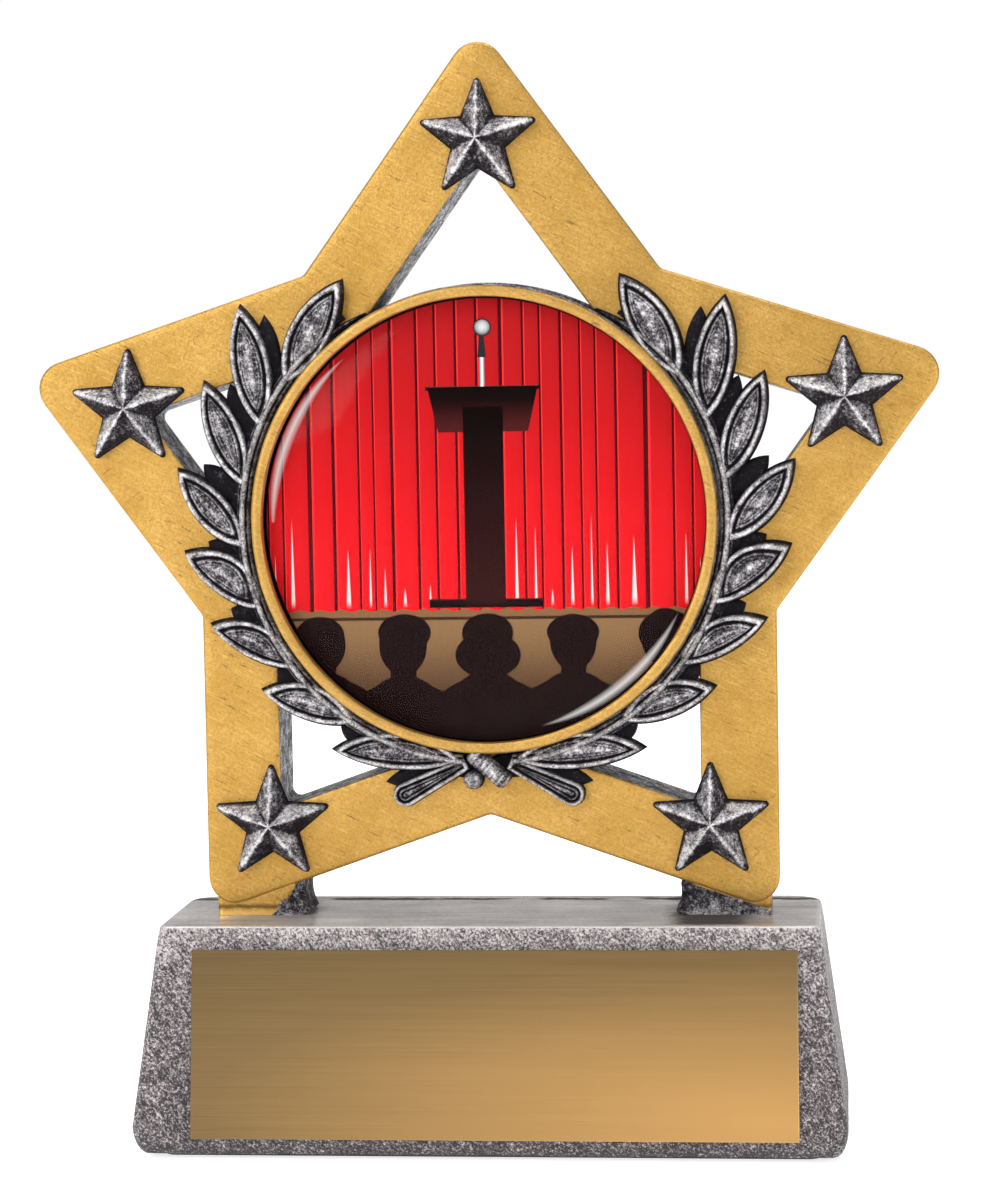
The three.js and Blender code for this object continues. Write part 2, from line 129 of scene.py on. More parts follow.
SMALL_STAR_RADIUS = 42.2
SMALL_STAR_TIP = 6.5
SMALL_STAR_NOTCH = 2.95
SMALL_STAR_HEIGHT = 3.0
ARMS = {"top": 90, "left": 162, "lower_left": 234, "lower_right": 306, "right": 18}


# ------------------------------------------------------------ shapes in the plane

def polar(radius, degrees):
    angle = math.radians(degrees)
    return Vector((radius * math.cos(angle), radius * math.sin(angle)))


def rounded(corners, steps=6):
    """Points round a closed outline whose corners (point, radius) are rounded by arcs."""
    points = []
    for i, (here, radius) in enumerate(corners):
        before = (corners[i - 1][0] - here).normalized()
        after = (corners[(i + 1) % len(corners)][0] - here).normalized()
        half = before.angle(after) / 2
        middle = here + (before + after).normalized() * radius / math.sin(half)
        start = here + before * radius / math.tan(half) - middle
        turn = start.angle_signed(here + after * radius / math.tan(half) - middle)
        for step in range(steps + 1):
            points.append(middle + Matrix.Rotation(-turn * step / steps, 2) @ start)
    return points


def inset_corner(before, here, after, inset):
    """The corner of two counter-clockwise edges after both move in."""
    normal_in = (here - before).normalized().orthogonal()
    normal_out = (after - here).normalized().orthogonal()
    bisector = (normal_in + normal_out).normalized()
    return here + bisector * inset / bisector.dot(normal_in)


def sharp_star():
    corners = []
    for i in range(10):
        notch = LOWER_NOTCH if i == 5 else STAR_NOTCH
        corners.append(polar(notch if i % 2 else STAR_TIP, 90 + i * FIFTH / 2))
    return corners


SHARP_STAR = sharp_star()


def star_outline(inset, tip_rounding, notch_rounding, steps=8):
    corners = []
    for i, here in enumerate(SHARP_STAR):
        moved = inset_corner(SHARP_STAR[i - 1], here, SHARP_STAR[(i + 1) % 10], inset)
        corners.append((moved, notch_rounding if i % 2 else tip_rounding))
    return rounded(corners, steps)


def reach(outline, angles):
    """How far a star-shaped outline reaches from the middle in each direction, in radians."""
    points = np.array([tuple(p) for p in outline])
    bearing = np.unwrap(np.arctan2(points[:, 1], points[:, 0]))
    order = np.argsort(bearing)
    points, bearing = points[order], bearing[order]
    points = np.vstack([points, points[:1]])
    bearing = np.append(bearing, bearing[0] + 2 * math.pi)
    turned = (np.asarray(angles) - bearing[0]) % (2 * math.pi) + bearing[0]
    k = np.clip(np.searchsorted(bearing, turned, side="right") - 1, 0, len(bearing) - 2)
    p, q = points[k], points[k + 1] - points[k]
    way = np.stack([np.cos(turned), np.sin(turned)], 1)
    return (p[:, 0] * q[:, 1] - p[:, 1] * q[:, 0]) / (way[:, 0] * q[:, 1] - way[:, 1] * q[:, 0])


def edge_distance(u, v):
    """How far points are inside the nearest straight edge of the star."""
    point = np.stack([np.asarray(u, float), np.asarray(v, float)], -1)
    nearest = np.full(point.shape[:-1], 1e9)
    for i, corner in enumerate(SHARP_STAR):
        a, b = np.array(corner), np.array(SHARP_STAR[(i + 1) % 10])
        along = (b - a) / np.linalg.norm(b - a)
        share = np.clip((point - a) @ along, 0, np.linalg.norm(b - a))
        gap = np.linalg.norm(point - a - share[..., None] * along, axis=-1)
        nearest = np.minimum(nearest, gap)
    return nearest


def wobble(u, v, size, seed=0.0):
    """Smooth bumps between -1 and 1 with the given spacing in millimetres."""
    return noise.noise(Vector((u / size, v / size, seed)))


def face_height(u, v):
    """Height of the star's face: five ridged arms with a slightly uneven, hand-finished surface."""
    fall = 1 - min(float(edge_distance(u, v)) / BAND, 1)
    return -FACET_DROP * fall + 0.035 * wobble(u, v, 7.0)


# ------------------------------------------------------------ gathering a mesh

def out_front(point):
    """From the star's front view (right, up, out of the face) to the frame, in metres."""
    u, v, w = point
    return Vector((u, FACE - w, STAR_MIDDLE + v)) * MM


def as_it_is(point):
    return Vector(point) * MM


def stand(name, data):
    """An object in the scene for a mesh, a lamp or a lens."""
    made = bpy.data.objects.new(name, data)
    bpy.context.scene.collection.objects.link(made)
    return made


class Skin:
    """Points with a tone each, 0 in the deepest recess and 1 on the highest edge, and the faces on them."""

    def __init__(self):
        self.points, self.tones, self.faces = [], [], []

    def ring(self, points, tone):
        first = len(self.points)
        self.points.extend(points)
        self.tones.extend(tone if hasattr(tone, "__len__") else [tone] * len(points))
        return list(range(first, len(self.points)))

    def wrap(self, rings):
        for a, b in zip(rings, rings[1:]):
            for i, here in enumerate(a):
                j = (i + 1) % len(a)
                self.faces.append((here, a[j], b[j], b[i]))

    def close(self, ring):
        self.faces.append(ring)

    def fan(self, ring, middle, tone):
        hub = self.ring([middle], tone)[0]
        for i, here in enumerate(ring):
            self.faces.append((here, ring[(i + 1) % len(ring)], hub))

    def solid(self, rings):
        """A skin over the rings, with a face at each end."""
        self.wrap(rings)
        self.close(rings[0])
        self.close(rings[-1])

    def piece(self, name, finish, slot, nodes, sharp=40, place=out_front):
        """The finished mesh as an object that rides on the trophy and stands for the given nodes."""
        mesh = bpy.data.meshes.new(name)
        mesh.from_pydata([place(p) for p in self.points], [], self.faces)
        tone = mesh.attributes.new("tone", "FLOAT", "POINT")
        tone.data.foreach_set("value", self.tones)
        work = bmesh.new()
        work.from_mesh(mesh)
        bmesh.ops.remove_doubles(work, verts=work.verts, dist=MESH_TIE)
        bmesh.ops.dissolve_degenerate(work, edges=work.edges, dist=MESH_TIE / 2)
        bmesh.ops.recalc_face_normals(work, faces=work.faces)
        work.to_mesh(mesh)
        work.free()
        mesh.shade_smooth()
        mesh.set_sharp_from_angle(angle=math.radians(sharp))
        mesh.materials.append(FINISH[finish])
        piece = stand(name, mesh)
        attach(piece, "root")
        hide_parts(*nodes)


def turned(skin, profile, steps=288, sway=0.0):
    """Turns (radius, height, tone) rows about the star's axis; sway makes the rows a little uneven."""
    rings = []
    for k, (radius, height, tone) in enumerate(profile):
        points = []
        for step in range(steps):
            angle = 360 * step / steps
            uneven = sway * wobble(*polar(radius, angle), 2.5, k * 0.37)
            points.append((*polar(radius + uneven, angle), height + uneven))
        rings.append(skin.ring(points, tone))
    skin.wrap(rings)
    return rings


# ------------------------------------------------------------ shader building

class Wire:
    """One output of a node; arithmetic on it adds the Math nodes that work it out."""

    def __init__(self, pot, socket):
        self.pot = pot
        self.socket = socket

    def maths(self, operation, *others, clamp=False):
        settings = {"operation": operation, "use_clamp": clamp}
        return self.pot.node("ShaderNodeMath", settings, dict(enumerate([self, *others])))

    def reflected(self, operation, first):
        return self.pot.node("ShaderNodeMath", {"operation": operation}, {0: first, 1: self})

    def __add__(self, other):
        return self.maths("ADD", other)

    def __sub__(self, other):
        return self.maths("SUBTRACT", other)

    def __rsub__(self, other):
        return self.reflected("SUBTRACT", other)

    def __mul__(self, other):
        return self.maths("MULTIPLY", other)

    def __truediv__(self, other):
        return self.maths("DIVIDE", other)

    def __rtruediv__(self, other):
        return self.reflected("DIVIDE", other)

    def __pow__(self, power):
        return self.maths("POWER", power)

    def __rpow__(self, base):
        return self.reflected("POWER", base)

    def __abs__(self):
        return self.maths("ABSOLUTE")

    def __gt__(self, other):
        return self.maths("GREATER_THAN", other)

    def __lt__(self, other):
        return self.maths("LESS_THAN", other)

    __radd__ = __add__
    __rmul__ = __mul__

    def clamp(self):
        return self.maths("ADD", 0, clamp=True)

    def floor(self):
        return self.maths("FLOOR")

    def fraction(self):
        return self.maths("FRACT")

    def higher(self, other):
        return self.maths("MAXIMUM", other)

    def fade(self, start, end):
        """0 before start, 1 after end, smooth between."""
        sockets = {"Value": self, "From Min": start, "From Max": end}
        return self.pot.node("ShaderNodeMapRange", {"interpolation_type": "SMOOTHSTEP"}, sockets)


class Nodes:
    """The empty node tree of a material or a world, and the one way that nodes are put into it."""

    def __init__(self, owner):
        self.owner = owner
        owner.use_nodes = True
        self.tree = owner.node_tree
        self.tree.nodes.clear()

    def node(self, kind, settings, sockets, output=0):
        """Adds a node, with its settings first and then the values or wires of its sockets."""
        made = self.tree.nodes.new(kind)
        for name, value in settings.items():
            if name == "stops":
                self.stops(made.color_ramp, value)
            else:
                setattr(made, name, value)
        for name, value in sockets.items():
            if isinstance(value, Wire):
                self.tree.links.new(value.socket, made.inputs[name])
            else:
                made.inputs[name].default_value = value
        return Wire(self, made.outputs[output]) if len(made.outputs) else None

    def stops(self, ramp, stops):
        for k, (position, colour) in enumerate(stops):
            stop = ramp.elements[k] if k < 2 else ramp.elements.new(position)
            stop.position = position
            stop.color = (*colour, 1)


class Pot(Nodes):
    """A paint being mixed for the trophy, with its place on the trophy in millimetres."""

    def __init__(self, name):
        super().__init__(bpy.data.materials.new(name))
        where = self.node("ShaderNodeTexCoord", {}, {}, "Object")
        self.place = self.node("ShaderNodeVectorMath", {"operation": "SCALE"}, {0: where, "Scale": 1 / MM})
        self.x, self.y, self.z = (self.node("ShaderNodeSeparateXYZ", {}, {0: self.place}, k) for k in "XYZ")

    def stretched(self, along, across, direction=(0, 0, 0)):
        """The place, turned and then stretched, for grain that runs one way."""
        sockets = {"Vector": self.place, "Rotation": direction, "Scale": (along, across, across)}
        return self.node("ShaderNodeMapping", {"vector_type": "TEXTURE"}, sockets)

    def grain(self, size, detail=2.0, roughness=0.5, place=None, warp=0.0):
        """Cloudy noise between 0 and 1 with the given spacing in millimetres."""
        sockets = {"Vector": place or self.place, "Scale": 1 / size, "Detail": detail,
                   "Roughness": roughness, "Distortion": warp}
        return self.node("ShaderNodeTexNoise", {}, sockets, "Fac")

    def random(self, number):
        """A random value that stays the same for each number."""
        return self.node("ShaderNodeTexWhiteNoise", {"noise_dimensions": "1D"}, {"W": number}, "Value")

    def tone(self):
        """The tone that the mesh carries: 0 in recesses, 1 on edges."""
        return self.node("ShaderNodeAttribute", {"attribute_name": "tone"}, {}, "Fac")

    def ramp(self, wire, stops):
        return self.node("ShaderNodeValToRGB", {"stops": stops}, {"Fac": wire}, "Color")

    def mix(self, share, first, second):
        sockets = {"Factor": share, 6: colour(first), 7: colour(second)}
        return self.node("ShaderNodeMix", {"data_type": "RGBA"}, sockets, 2)


def colour(value):
    return value if isinstance(value, Wire) else (*value, 1)


class Paint:
    """What one paint does at each point: colour, roughness, shine as a metal, and height in millimetres."""

    def __init__(self, hue, roughness, metallic, height):
        self.hue, self.roughness, self.metallic, self.height = hue, roughness, metallic, height

    def over(self, pot, under, mask):
        """This paint where mask is 1 and the one under it where mask is 0."""
        def blend(a, b):
            return b + (a - b) * mask
        return Paint(pot.mix(mask, under.hue, self.hue), blend(self.roughness, under.roughness),
                     blend(self.metallic, under.metallic), blend(self.height, under.height))

    def dry(self, pot, **fixed):
        """Finishes the material: the paint goes to the shader and the shader to the output."""
        bump = pot.node("ShaderNodeBump", {}, {"Strength": 1.0, "Distance": MM, "Height": self.height})
        sockets = {"Base Color": self.hue, "Roughness": self.roughness, "Metallic": self.metallic,
                   "Normal": bump, **fixed}
        shader = pot.node("ShaderNodeBsdfPrincipled", {}, sockets)
        pot.node("ShaderNodeOutputMaterial", {}, {"Surface": shader})
        return pot.owner


# ------------------------------------------------------------ paints

DULL = {"Specular IOR Level": 0.12}  # the black under the rubbed silver hardly shines


def gold(pot):
    """Satin gold paint, rubbed in short crossing strokes, with fine dark scratches and specks."""
    rubbed = pot.grain(1.0, 4, 0.65, pot.stretched(2.6, 0.22, (0, 0.45, 0)), 0.6)
    crossed = pot.grain(1.0, 4, 0.65, pot.stretched(2.2, 0.20, (0, -0.75, 0)), 0.6)
    cloud = pot.grain(6.0, 4, 0.6)
    fine = pot.grain(0.28, 3, 0.7)
    scratch = rubbed.fade(0.60, 0.68) * pot.grain(2.6, 3).fade(0.48, 0.60)
    scratch = scratch.higher(crossed.fade(0.61, 0.69) * pot.grain(3.1, 3, 0.6).fade(0.52, 0.62))
    speck = pot.grain(0.42, 2, 0.7).fade(0.66, 0.76) * pot.grain(3.4, 2).fade(0.48, 0.62)
    hue = pot.mix((cloud * 1.7 + crossed * 0.5 - 0.62).clamp(), (0.455, 0.255, 0.050), (0.655, 0.398, 0.112))
    hue = pot.mix(fine.fade(0.34, 0.68) * 0.60, hue, (0.34, 0.186, 0.040))
    hue = pot.mix(rubbed.fade(0.32, 0.46) * -0.22 + 0.22, hue, (0.86, 0.58, 0.21))
    hue = pot.mix((scratch * 0.75 + speck * 0.75).clamp(), hue, (0.130, 0.070, 0.030))
    roughness = (rubbed * 0.30 + 0.28 + scratch * 0.2).clamp()
    height = (rubbed - 0.5) * 0.06 + (fine - 0.5) * 0.05 + (cloud - 0.5) * 0.16 - scratch * 0.02
    return Paint(hue, roughness, 0.75 - scratch * 0.4, height)


def antique_silver(pot, tone):
    """Silver paint rubbed over black: bright on the high edges, black in the recesses, mottled between."""
    mottle = pot.grain(0.34, 4, 0.75, warp=0.8)
    patch = pot.grain(1.5, 3, 0.6)
    pits = pot.grain(0.20, 3, 0.7)
    rub = tone * 0.95 + (mottle - 0.5) * 2.1 + (patch - 0.5) * 1.2 + (pits - 0.5) * 0.5 + 0.03
    hue = pot.ramp(rub, [
        (0.10, (0.008, 0.006, 0.009)),
        (0.32, (0.036, 0.031, 0.038)),
        (0.52, (0.165, 0.155, 0.165)),
        (0.74, (0.420, 0.405, 0.418)),
        (1.00, (0.820, 0.800, 0.805)),
    ])
    worn = rub.fade(0.3, 0.9)
    height = (mottle - 0.5) * 0.20 + (pits - 0.5) * 0.06
    return Paint(hue, 0.60 - worn * 0.20, worn * 0.7, height)


def gilded_star():
    """Gold over the face and the outer sides; silver over black inside the openings and behind."""
    pot = Pot("gilded_star")
    tone = pot.tone()
    ragged = tone + (pot.grain(0.8, 3, 0.6) - 0.5) * 0.5
    along = pot.grain(1.0, 3, 0.6, pot.stretched(6.0, 0.30))
    silver = antique_silver(pot, along * 0.5 + 0.33)
    return gold(pot).over(pot, silver, ragged.fade(0.46, 0.54)).dry(pot, **DULL)


def gilded_rim():
    """Gold with small black nicks."""
    pot = Pot("gilded_rim")
    nick = (pot.grain(0.6, 3, 0.7) - (pot.tone() - 0.5) * 0.25).fade(0.60, 0.68)
    black = Paint((0.03, 0.024, 0.02), 0.6, 0.0, -0.02)
    return black.over(pot, gold(pot), nick * 0.8).dry(pot)


def silver_relief():
    pot = Pot("silver_relief")
    return antique_silver(pot, pot.tone()).dry(pot, **DULL)


def silver_foot():
    """Silver with the star's gold brushed over its outer end, and a dark line low on the gold."""
    pot = Pot("silver_foot")
    ragged = (pot.grain(1.6, 3, 0.6) - 0.5) * 2.4
    above = pot.z - BASE_TOP
    left = (ragged - pot.x + above * 0.8).fade(GILT_FROM + 3.0, GILT_FROM + 3.5)
    right = above - (FOOT_OUTER - pot.x) * 0.33 + ragged * 0.15
    right = right.fade(0.50, 0.65) * pot.x.fade(GILT_FROM, GILT_FROM + 2.0)
    gilt = gold(pot)
    above = above + ragged * 0.25
    gilt.hue = pot.mix((1 - above.fade(0.35, 0.75)) * 0.7, gilt.hue, (0.95, 0.60, 0.17))
    line = above.fade(0.7, 0.95) * (1 - above.fade(1.0, 1.5))
    gilt.hue = pot.mix(line * 0.8, gilt.hue, (0.120, 0.060, 0.020))
    silver = antique_silver(pot, pot.tone())
    return gilt.over(pot, silver, left.higher(right)).dry(pot, **DULL)


def grey_sides(pot, tone):
    """Mottled silver rubbed over black, darker towards the bottom."""
    speckle = pot.grain(0.28, 5, 0.80, warp=0.5)
    blotch = pot.grain(2.4, 4, 0.65)
    streak = pot.grain(1.0, 4, 0.7, pot.stretched(1.6, 0.24, (0, 0.9, 0)), 0.5)
    fall = (pot.z - BASE_TOP) * 0.012
    rub = speckle * 5.4 + blotch * 0.9 + streak * 2.2 + tone * 0.80 + fall - 4.26
    hue = pot.ramp(rub, [
        (0.00, (0.022, 0.018, 0.021)),
        (0.25, (0.096, 0.081, 0.085)),
        (0.50, (0.252, 0.220, 0.225)),
        (0.75, (0.452, 0.402, 0.406)),
        (1.00, (0.745, 0.680, 0.682)),
    ])
    height = (speckle - 0.5) * 0.22 + (streak - 0.5) * 0.08
    return Paint(hue, 0.58 - rub.clamp() * 0.18, rub.fade(0.2, 0.9) * 0.5, height)


def grey_lacquer(pot, tone):
    """Smooth grey lacquer with a bright top edge, partly wear and partly painted highlight, a black seam, and
    painted shade round the feet.
    """
    brushed = pot.grain(1.0, 3, 0.5, pot.stretched(14.0, 1.2))
    dust = pot.grain(0.6, 4, 0.75)
    cloud = pot.grain(11.0, 3, 0.6)
    shade = (brushed * 1.2 + dust * 0.9 + cloud * 1.6 - 1.35).clamp()
    grey = pot.mix(shade, (0.310, 0.282, 0.272), (0.820, 0.775, 0.755))
    # a lighter grey along the top edge: wear, and a painted highlight
    grey = pot.mix(tone.fade(0.75, 1.0) * 0.6, grey, (0.80, 0.79, 0.79))
    rear = pot.y + (pot.grain(3.0, 4, 0.7) - 0.5) * 2.2
    seam = rear.fade(SEAM_START, SEAM_START + 0.4) * (1 - rear.fade(SEAM_END - 0.4, SEAM_END))
    seam = seam * pot.grain(9.0, 2, 0.5).fade(0.36, 0.48)
    ragged = (pot.grain(2.2, 3, 0.6) - 0.5) * 3.0
    across = abs(pot.x) + ragged
    # painted shade: matt black on the top round and in front of the feet, heavier on the right
    painted_foot_shade = across.fade(FOOT_INNER - 2.5, FOOT_INNER + 0.5) * (1 - across.fade(FOOT_OUTER - 4.5, FOOT_OUTER))
    from_edge = pot.y + ragged * 0.4 + TOP_DEPTH / 2
    painted_foot_shade = painted_foot_shade * from_edge.fade(0.05, 1.65) * (pot.x.fade(-20, 20) * 0.5 + 0.42)
    black = (seam * 0.92 + painted_foot_shade + dust.fade(0.68, 0.76) * 0.5).clamp()
    hue = pot.mix(black, grey, (0.016, 0.011, 0.009))
    roughness = dust * 0.16 + 0.10 + seam.higher(painted_foot_shade) * 0.75
    height = (brushed - 0.5) * 0.03 + (dust - 0.5) * 0.02 - seam * 0.12
    return Paint(hue, roughness, (1 - black) * 0.45, height)


def grey_base():
    """The speckled finish on the sloped sides and the lacquer on the level top."""
    pot = Pot("grey_base")
    tone = pot.tone()
    level = pot.z.fade(BASE_TOP - 0.25, BASE_TOP - 0.05)
    return grey_lacquer(pot, tone).over(pot, grey_sides(pot, tone), level).dry(pot)


def brushed_brass():
    """Brass with a fine brushing along its length, and a painted sheen that is brightest towards the lower
    right.
    """
    pot = Pot("brushed_brass")
    brushing = pot.grain(1.0, 4, 0.7, pot.stretched(30.0, 0.14))
    broad = pot.grain(1.0, 2, 0.5, pot.stretched(40.0, 2.2))
    # painted sheen: reflected light painted into the colour, fading away from the lower right
    across = (PAINTED_SHEEN_CORNER[0] - pot.x) * (1 / PAINTED_SHEEN_REACH[0])
    up = (pot.z - PAINTED_SHEEN_CORNER[1]) * (1 / PAINTED_SHEEN_REACH[1])
    bright = (1 - (across * across + up * up) ** 0.5 * 0.76 + (broad - 0.5) * 0.08).clamp()
    hue = pot.ramp(bright, [
        (0.00, (0.118, 0.076, 0.029)),
        (0.30, (0.185, 0.117, 0.043)),
        (0.55, (0.345, 0.202, 0.070)),
        (1.00, (0.600, 0.335, 0.108)),
    ])
    hue = pot.mix((brushing - 0.30) * 0.22, hue, (0.62, 0.40, 0.18))
    return Paint(hue, brushing * 0.16 + 0.32, 0.7, (brushing - 0.5) * 0.014).dry(pot)


def black_felt():
    pot = Pot("black_felt")
    fibre = pot.grain(0.35, 4, 0.8, warp=1.5)
    hue = pot.mix(fibre, (0.006, 0.006, 0.007), (0.030, 0.030, 0.033))
    return Paint(hue, 0.9 + fibre * 0.08, 0.0, fibre * 0.2).dry(pot, **{"Sheen Weight": 0.4})


def clear_film():
    pot = Pot("adhesive_film")
    cloud = pot.grain(1.5, 3, 0.6)
    hue = pot.mix(cloud, (0.62, 0.60, 0.55), (0.74, 0.73, 0.69))
    return Paint(hue, cloud * 0.2 + 0.45, 0.0, cloud * 0.02).dry(pot)


def drawn_steel():
    """Bright steel with fine clouding, for the pins."""
    pot = Pot("drawn_steel")
    line = pot.grain(1.0, 3, 0.6, pot.stretched(0.15, 0.15))
    hue = pot.mix(line, (0.30, 0.30, 0.31), (0.46, 0.46, 0.48))
    return Paint(hue, line * 0.15 + 0.25, 0.95, line * 0.01).dry(pot)


def clear_dome():
    """Clear resin: almost nothing but the gloss of its surface."""
    pot = Pot("clear_dome")
    ripple = pot.grain(14.0, 2, 0.5)
    roughness = pot.grain(3.0, 2, 0.5) * 0.03 + 0.02
    hue = pot.mix(ripple, (0.96, 0.97, 0.99), (1.0, 1.0, 1.0))
    return Paint(hue, roughness, 1.0, ripple * 0.02).dry(pot, Alpha=0.003)


# ------------------------------------------------------------ the picture: curtain, stage, lectern, audience

CURTAIN_HEM = -9.9
STAGE_EDGE = -11.2
FOLD = 2.35
PAINTED_HIGHLIGHT_RADIUS = 23.95
PAINTED_DOME_HIGHLIGHTS = [(157, 27), (-51, 25)]  # each painted highlight: bearing of its middle, and how far it reaches to each side, in degrees
INK = (0.0045, 0.0020, 0.0020)
# each head: place across, height and size
SEATS = [(-18.5, -13.9, 2.5), (-9.5, -14.1, 2.7), (0.1, -13.7, 2.6), (9.7, -13.8, 2.6), (20.0, -13.4, 2.7)]
# each head of hair: its middle and its half sizes
HAIR = [((-9.3, -12.6), (3.0, 2.1)), ((0.1, -15.2), (3.7, 2.6)), ((0.1, -12.7), (2.9, 2.2)),
        ((9.7, -12.7), (2.95, 2.0)), ((-18.9, -12.9), (2.8, 2.2)), ((20.2, -12.9), (3.2, 2.6))]


def inside_box(u, v, middle, half):
    """1 inside an upright rectangle and 0 outside it."""
    return (abs(u - middle[0]) < half[0]) * (abs(v - middle[1]) < half[1])


def inside_oval(u, v, middle, half):
    """1 inside an upright oval and 0 outside it."""
    across = (u - middle[0]) * (1 / half[0])
    up = (v - middle[1]) * (1 / half[1])
    return (across * across + up * up) < 1


def curtain(pot, u, v):
    """Red cloth in upright folds: dark creases with a lit edge, and gleams that taper up from the hem."""
    sway = pot.grain(1.0, 1, 0.5, pot.node("ShaderNodeCombineXYZ", {}, {"X": u * 0.11})) * 2.6
    fold = u * (1 / FOLD) + sway
    number = fold.floor()
    across = fold.fraction()
    red = pot.mix(v.fade(24.0, CURTAIN_HEM), (0.370, 0.010, 0.012), (0.640, 0.007, 0.011))
    red = pot.mix((across - 0.6) * 0.55, red, (0.26, 0.004, 0.008))
    red = pot.mix((across > 0.09) * (across < 0.15) * 0.85, red, (0.90, 0.030, 0.030))
    crease = ((across < 0.09) + (across > 0.965)).clamp()
    red = pot.mix(crease * 0.93, red, (0.035, 0.003, 0.005))
    top = pot.random(number) * 9.0 + CURTAIN_HEM + 2.0
    rise = ((v - CURTAIN_HEM) / (top - CURTAIN_HEM)).clamp()
    middle = pot.random(number + 7) * 0.25 + 0.42
    gleam = (abs(across - middle) < (1 - rise) * 0.085) * (pot.random(number + 19) > 0.2)
    gleam = gleam * (v < top) * v.fade(CURTAIN_HEM, CURTAIN_HEM + 1.2)
    return pot.mix(gleam * 0.85, red, (0.95, 0.68, 0.66))


def stage_front(pot, v):
    """The brown apron under the curtain, and the ledge along its top."""
    apron = pot.mix(v.fade(STAGE_EDGE, STAGE_EDGE - 9.0), (0.215, 0.120, 0.054), (0.078, 0.038, 0.017))
    ledge = pot.mix(v > STAGE_EDGE + 0.35, (0.040, 0.018, 0.010), (0.190, 0.098, 0.042))
    return pot.mix(v > STAGE_EDGE, apron, ledge)


def lectern(pot, u, v, hue):
    """A board that narrows downwards with a lit upper edge, a column, and a foot."""
    board = (abs(u) < 5.05 + (v - 9.8) * 0.23) * (abs(v - 12.2) < 2.4)
    faces = [
        (inside_box(u, v, (0, CURTAIN_HEM + 0.55), (6.4, 0.48)), INK),
        (inside_box(u, v, (0, CURTAIN_HEM + 0.98), (6.4, 0.08)), (0.055, 0.014, 0.012)),
        (board, pot.mix(v.fade(14.0, 9.6), INK, (0.060, 0.010, 0.010))),
        (inside_box(u, v, (0, 1.6), (2.25, 11.0)),
         pot.mix(v.fade(13.5, CURTAIN_HEM), (0.0035, 0.0015, 0.0015), (0.024, 0.0045, 0.0045))),
        (inside_box(u, v, (0, 14.7), (6.4, 0.22)), INK),
        (inside_box(u, v, (0, 14.88), (6.3, 0.05)), (0.085, 0.030, 0.028)),
    ]
    for mask, paint in faces:
        hue = pot.mix(mask, hue, paint)
    return hue


def microphone(pot, u, v, hue):
    """A round grille on a dark grip, on a bright stem."""
    stem = pot.mix(abs(u).fade(0.05, 0.28), (0.66, 0.66, 0.68), (0.14, 0.14, 0.15))
    hue = pot.mix(inside_box(u, v, (0, 16.6), (0.28, 1.75)), hue, stem)
    grip = (abs(u) < 0.26 + (20.6 - v) * 0.09) * (abs(v - 19.3) < 1.2)
    hue = pot.mix(grip, hue, (0.020, 0.020, 0.022))
    hue = pot.mix(inside_oval(u, v, (0.1, 21.4), (1.02, 1.02)), hue, (0.020, 0.016, 0.016))
    gleam = (1 - ((u - 0.1) ** 2 + (v - 21.5) ** 2) * 1.2).clamp()
    ball = pot.mix(gleam, (0.060, 0.060, 0.065), (0.56, 0.56, 0.57))
    return pot.mix(inside_oval(u, v, (0.1, 21.4), (0.88, 0.88)), hue, ball)


def audience(u, v):
    """1 on the dark audience: plain heads on sloping shoulders, each with hair of its own."""
    crowd = inside_oval(u, v, (0, -30.2), (23.5, 10.2))
    for across, height, size in SEATS:
        crowd = crowd.higher(inside_oval(u, v, (across, height), (size, size * 1.22)))
        crowd = crowd.higher(inside_box(u, v, (across, height - size * 1.2), (size * 0.55, size * 0.8)))
        crowd = crowd.higher(inside_oval(u, v, (across, height - size * 2.3), (size * 1.45, size * 1.05)))
        crowd = crowd.higher(inside_oval(u, v, (across, height - size * 3.0), (size * 2.4, size * 1.5)))
    for middle, half in HAIR:
        crowd = crowd.higher(inside_oval(u, v, middle, half))
    return crowd


def painted_dome_highlights(pot, u, v, hue):
    """Painted highlights: two soft white crescents near the edge that stand for the dome's reflections, and a
    painted shadow line round it.
    """
    distance = (u * u + v * v) ** 0.5
    bearing = v.maths("ARCTAN2", u) * (180 / math.pi)
    # painted highlights: white crescents standing for the dome's reflections
    for middle, spread in PAINTED_DOME_HIGHLIGHTS:
        share = (abs(bearing - middle) * (1 / spread)).clamp()
        thick = (1 - share * share) * 0.72 + 0.02
        gleam = (1 - (abs(distance - PAINTED_HIGHLIGHT_RADIUS) / thick).clamp()) ** 1.2 * (1 - share ** 4)
        hue = pot.mix((gleam * 0.80).clamp(), hue, (0.86, 0.84, 0.84))
    # painted shadow: a thin dark line round the edge, where the rim shades the print
    return pot.mix(distance.fade(DISC_RADIUS - 0.22, DISC_RADIUS - 0.12), hue, (0.020, 0.008, 0.008))


def stage_picture():
    """The print: red curtain over a brown stage front, a black lectern with a microphone, and an audience."""
    pot = Pot("stage_picture")
    u, v = pot.x, pot.z - STAR_MIDDLE
    scallop = abs((u * (1 / FOLD)).fraction() - 0.5) * 0.7
    hue = pot.mix(v < scallop + CURTAIN_HEM - 0.35, curtain(pot, u, v), stage_front(pot, v))
    hue = lectern(pot, u, v, hue)
    hue = microphone(pot, u, v, hue)
    hue = pot.mix(audience(u, v), hue, (0.0075, 0.0022, 0.0025))
    hue = painted_dome_highlights(pot, u, v, hue)
    screen = pot.grain(0.2, 1, 0.5)
    return Paint(hue, screen * 0.05 + 0.55, 0.0, screen * 0.002).dry(pot, **{"Specular IOR Level": 0.0})


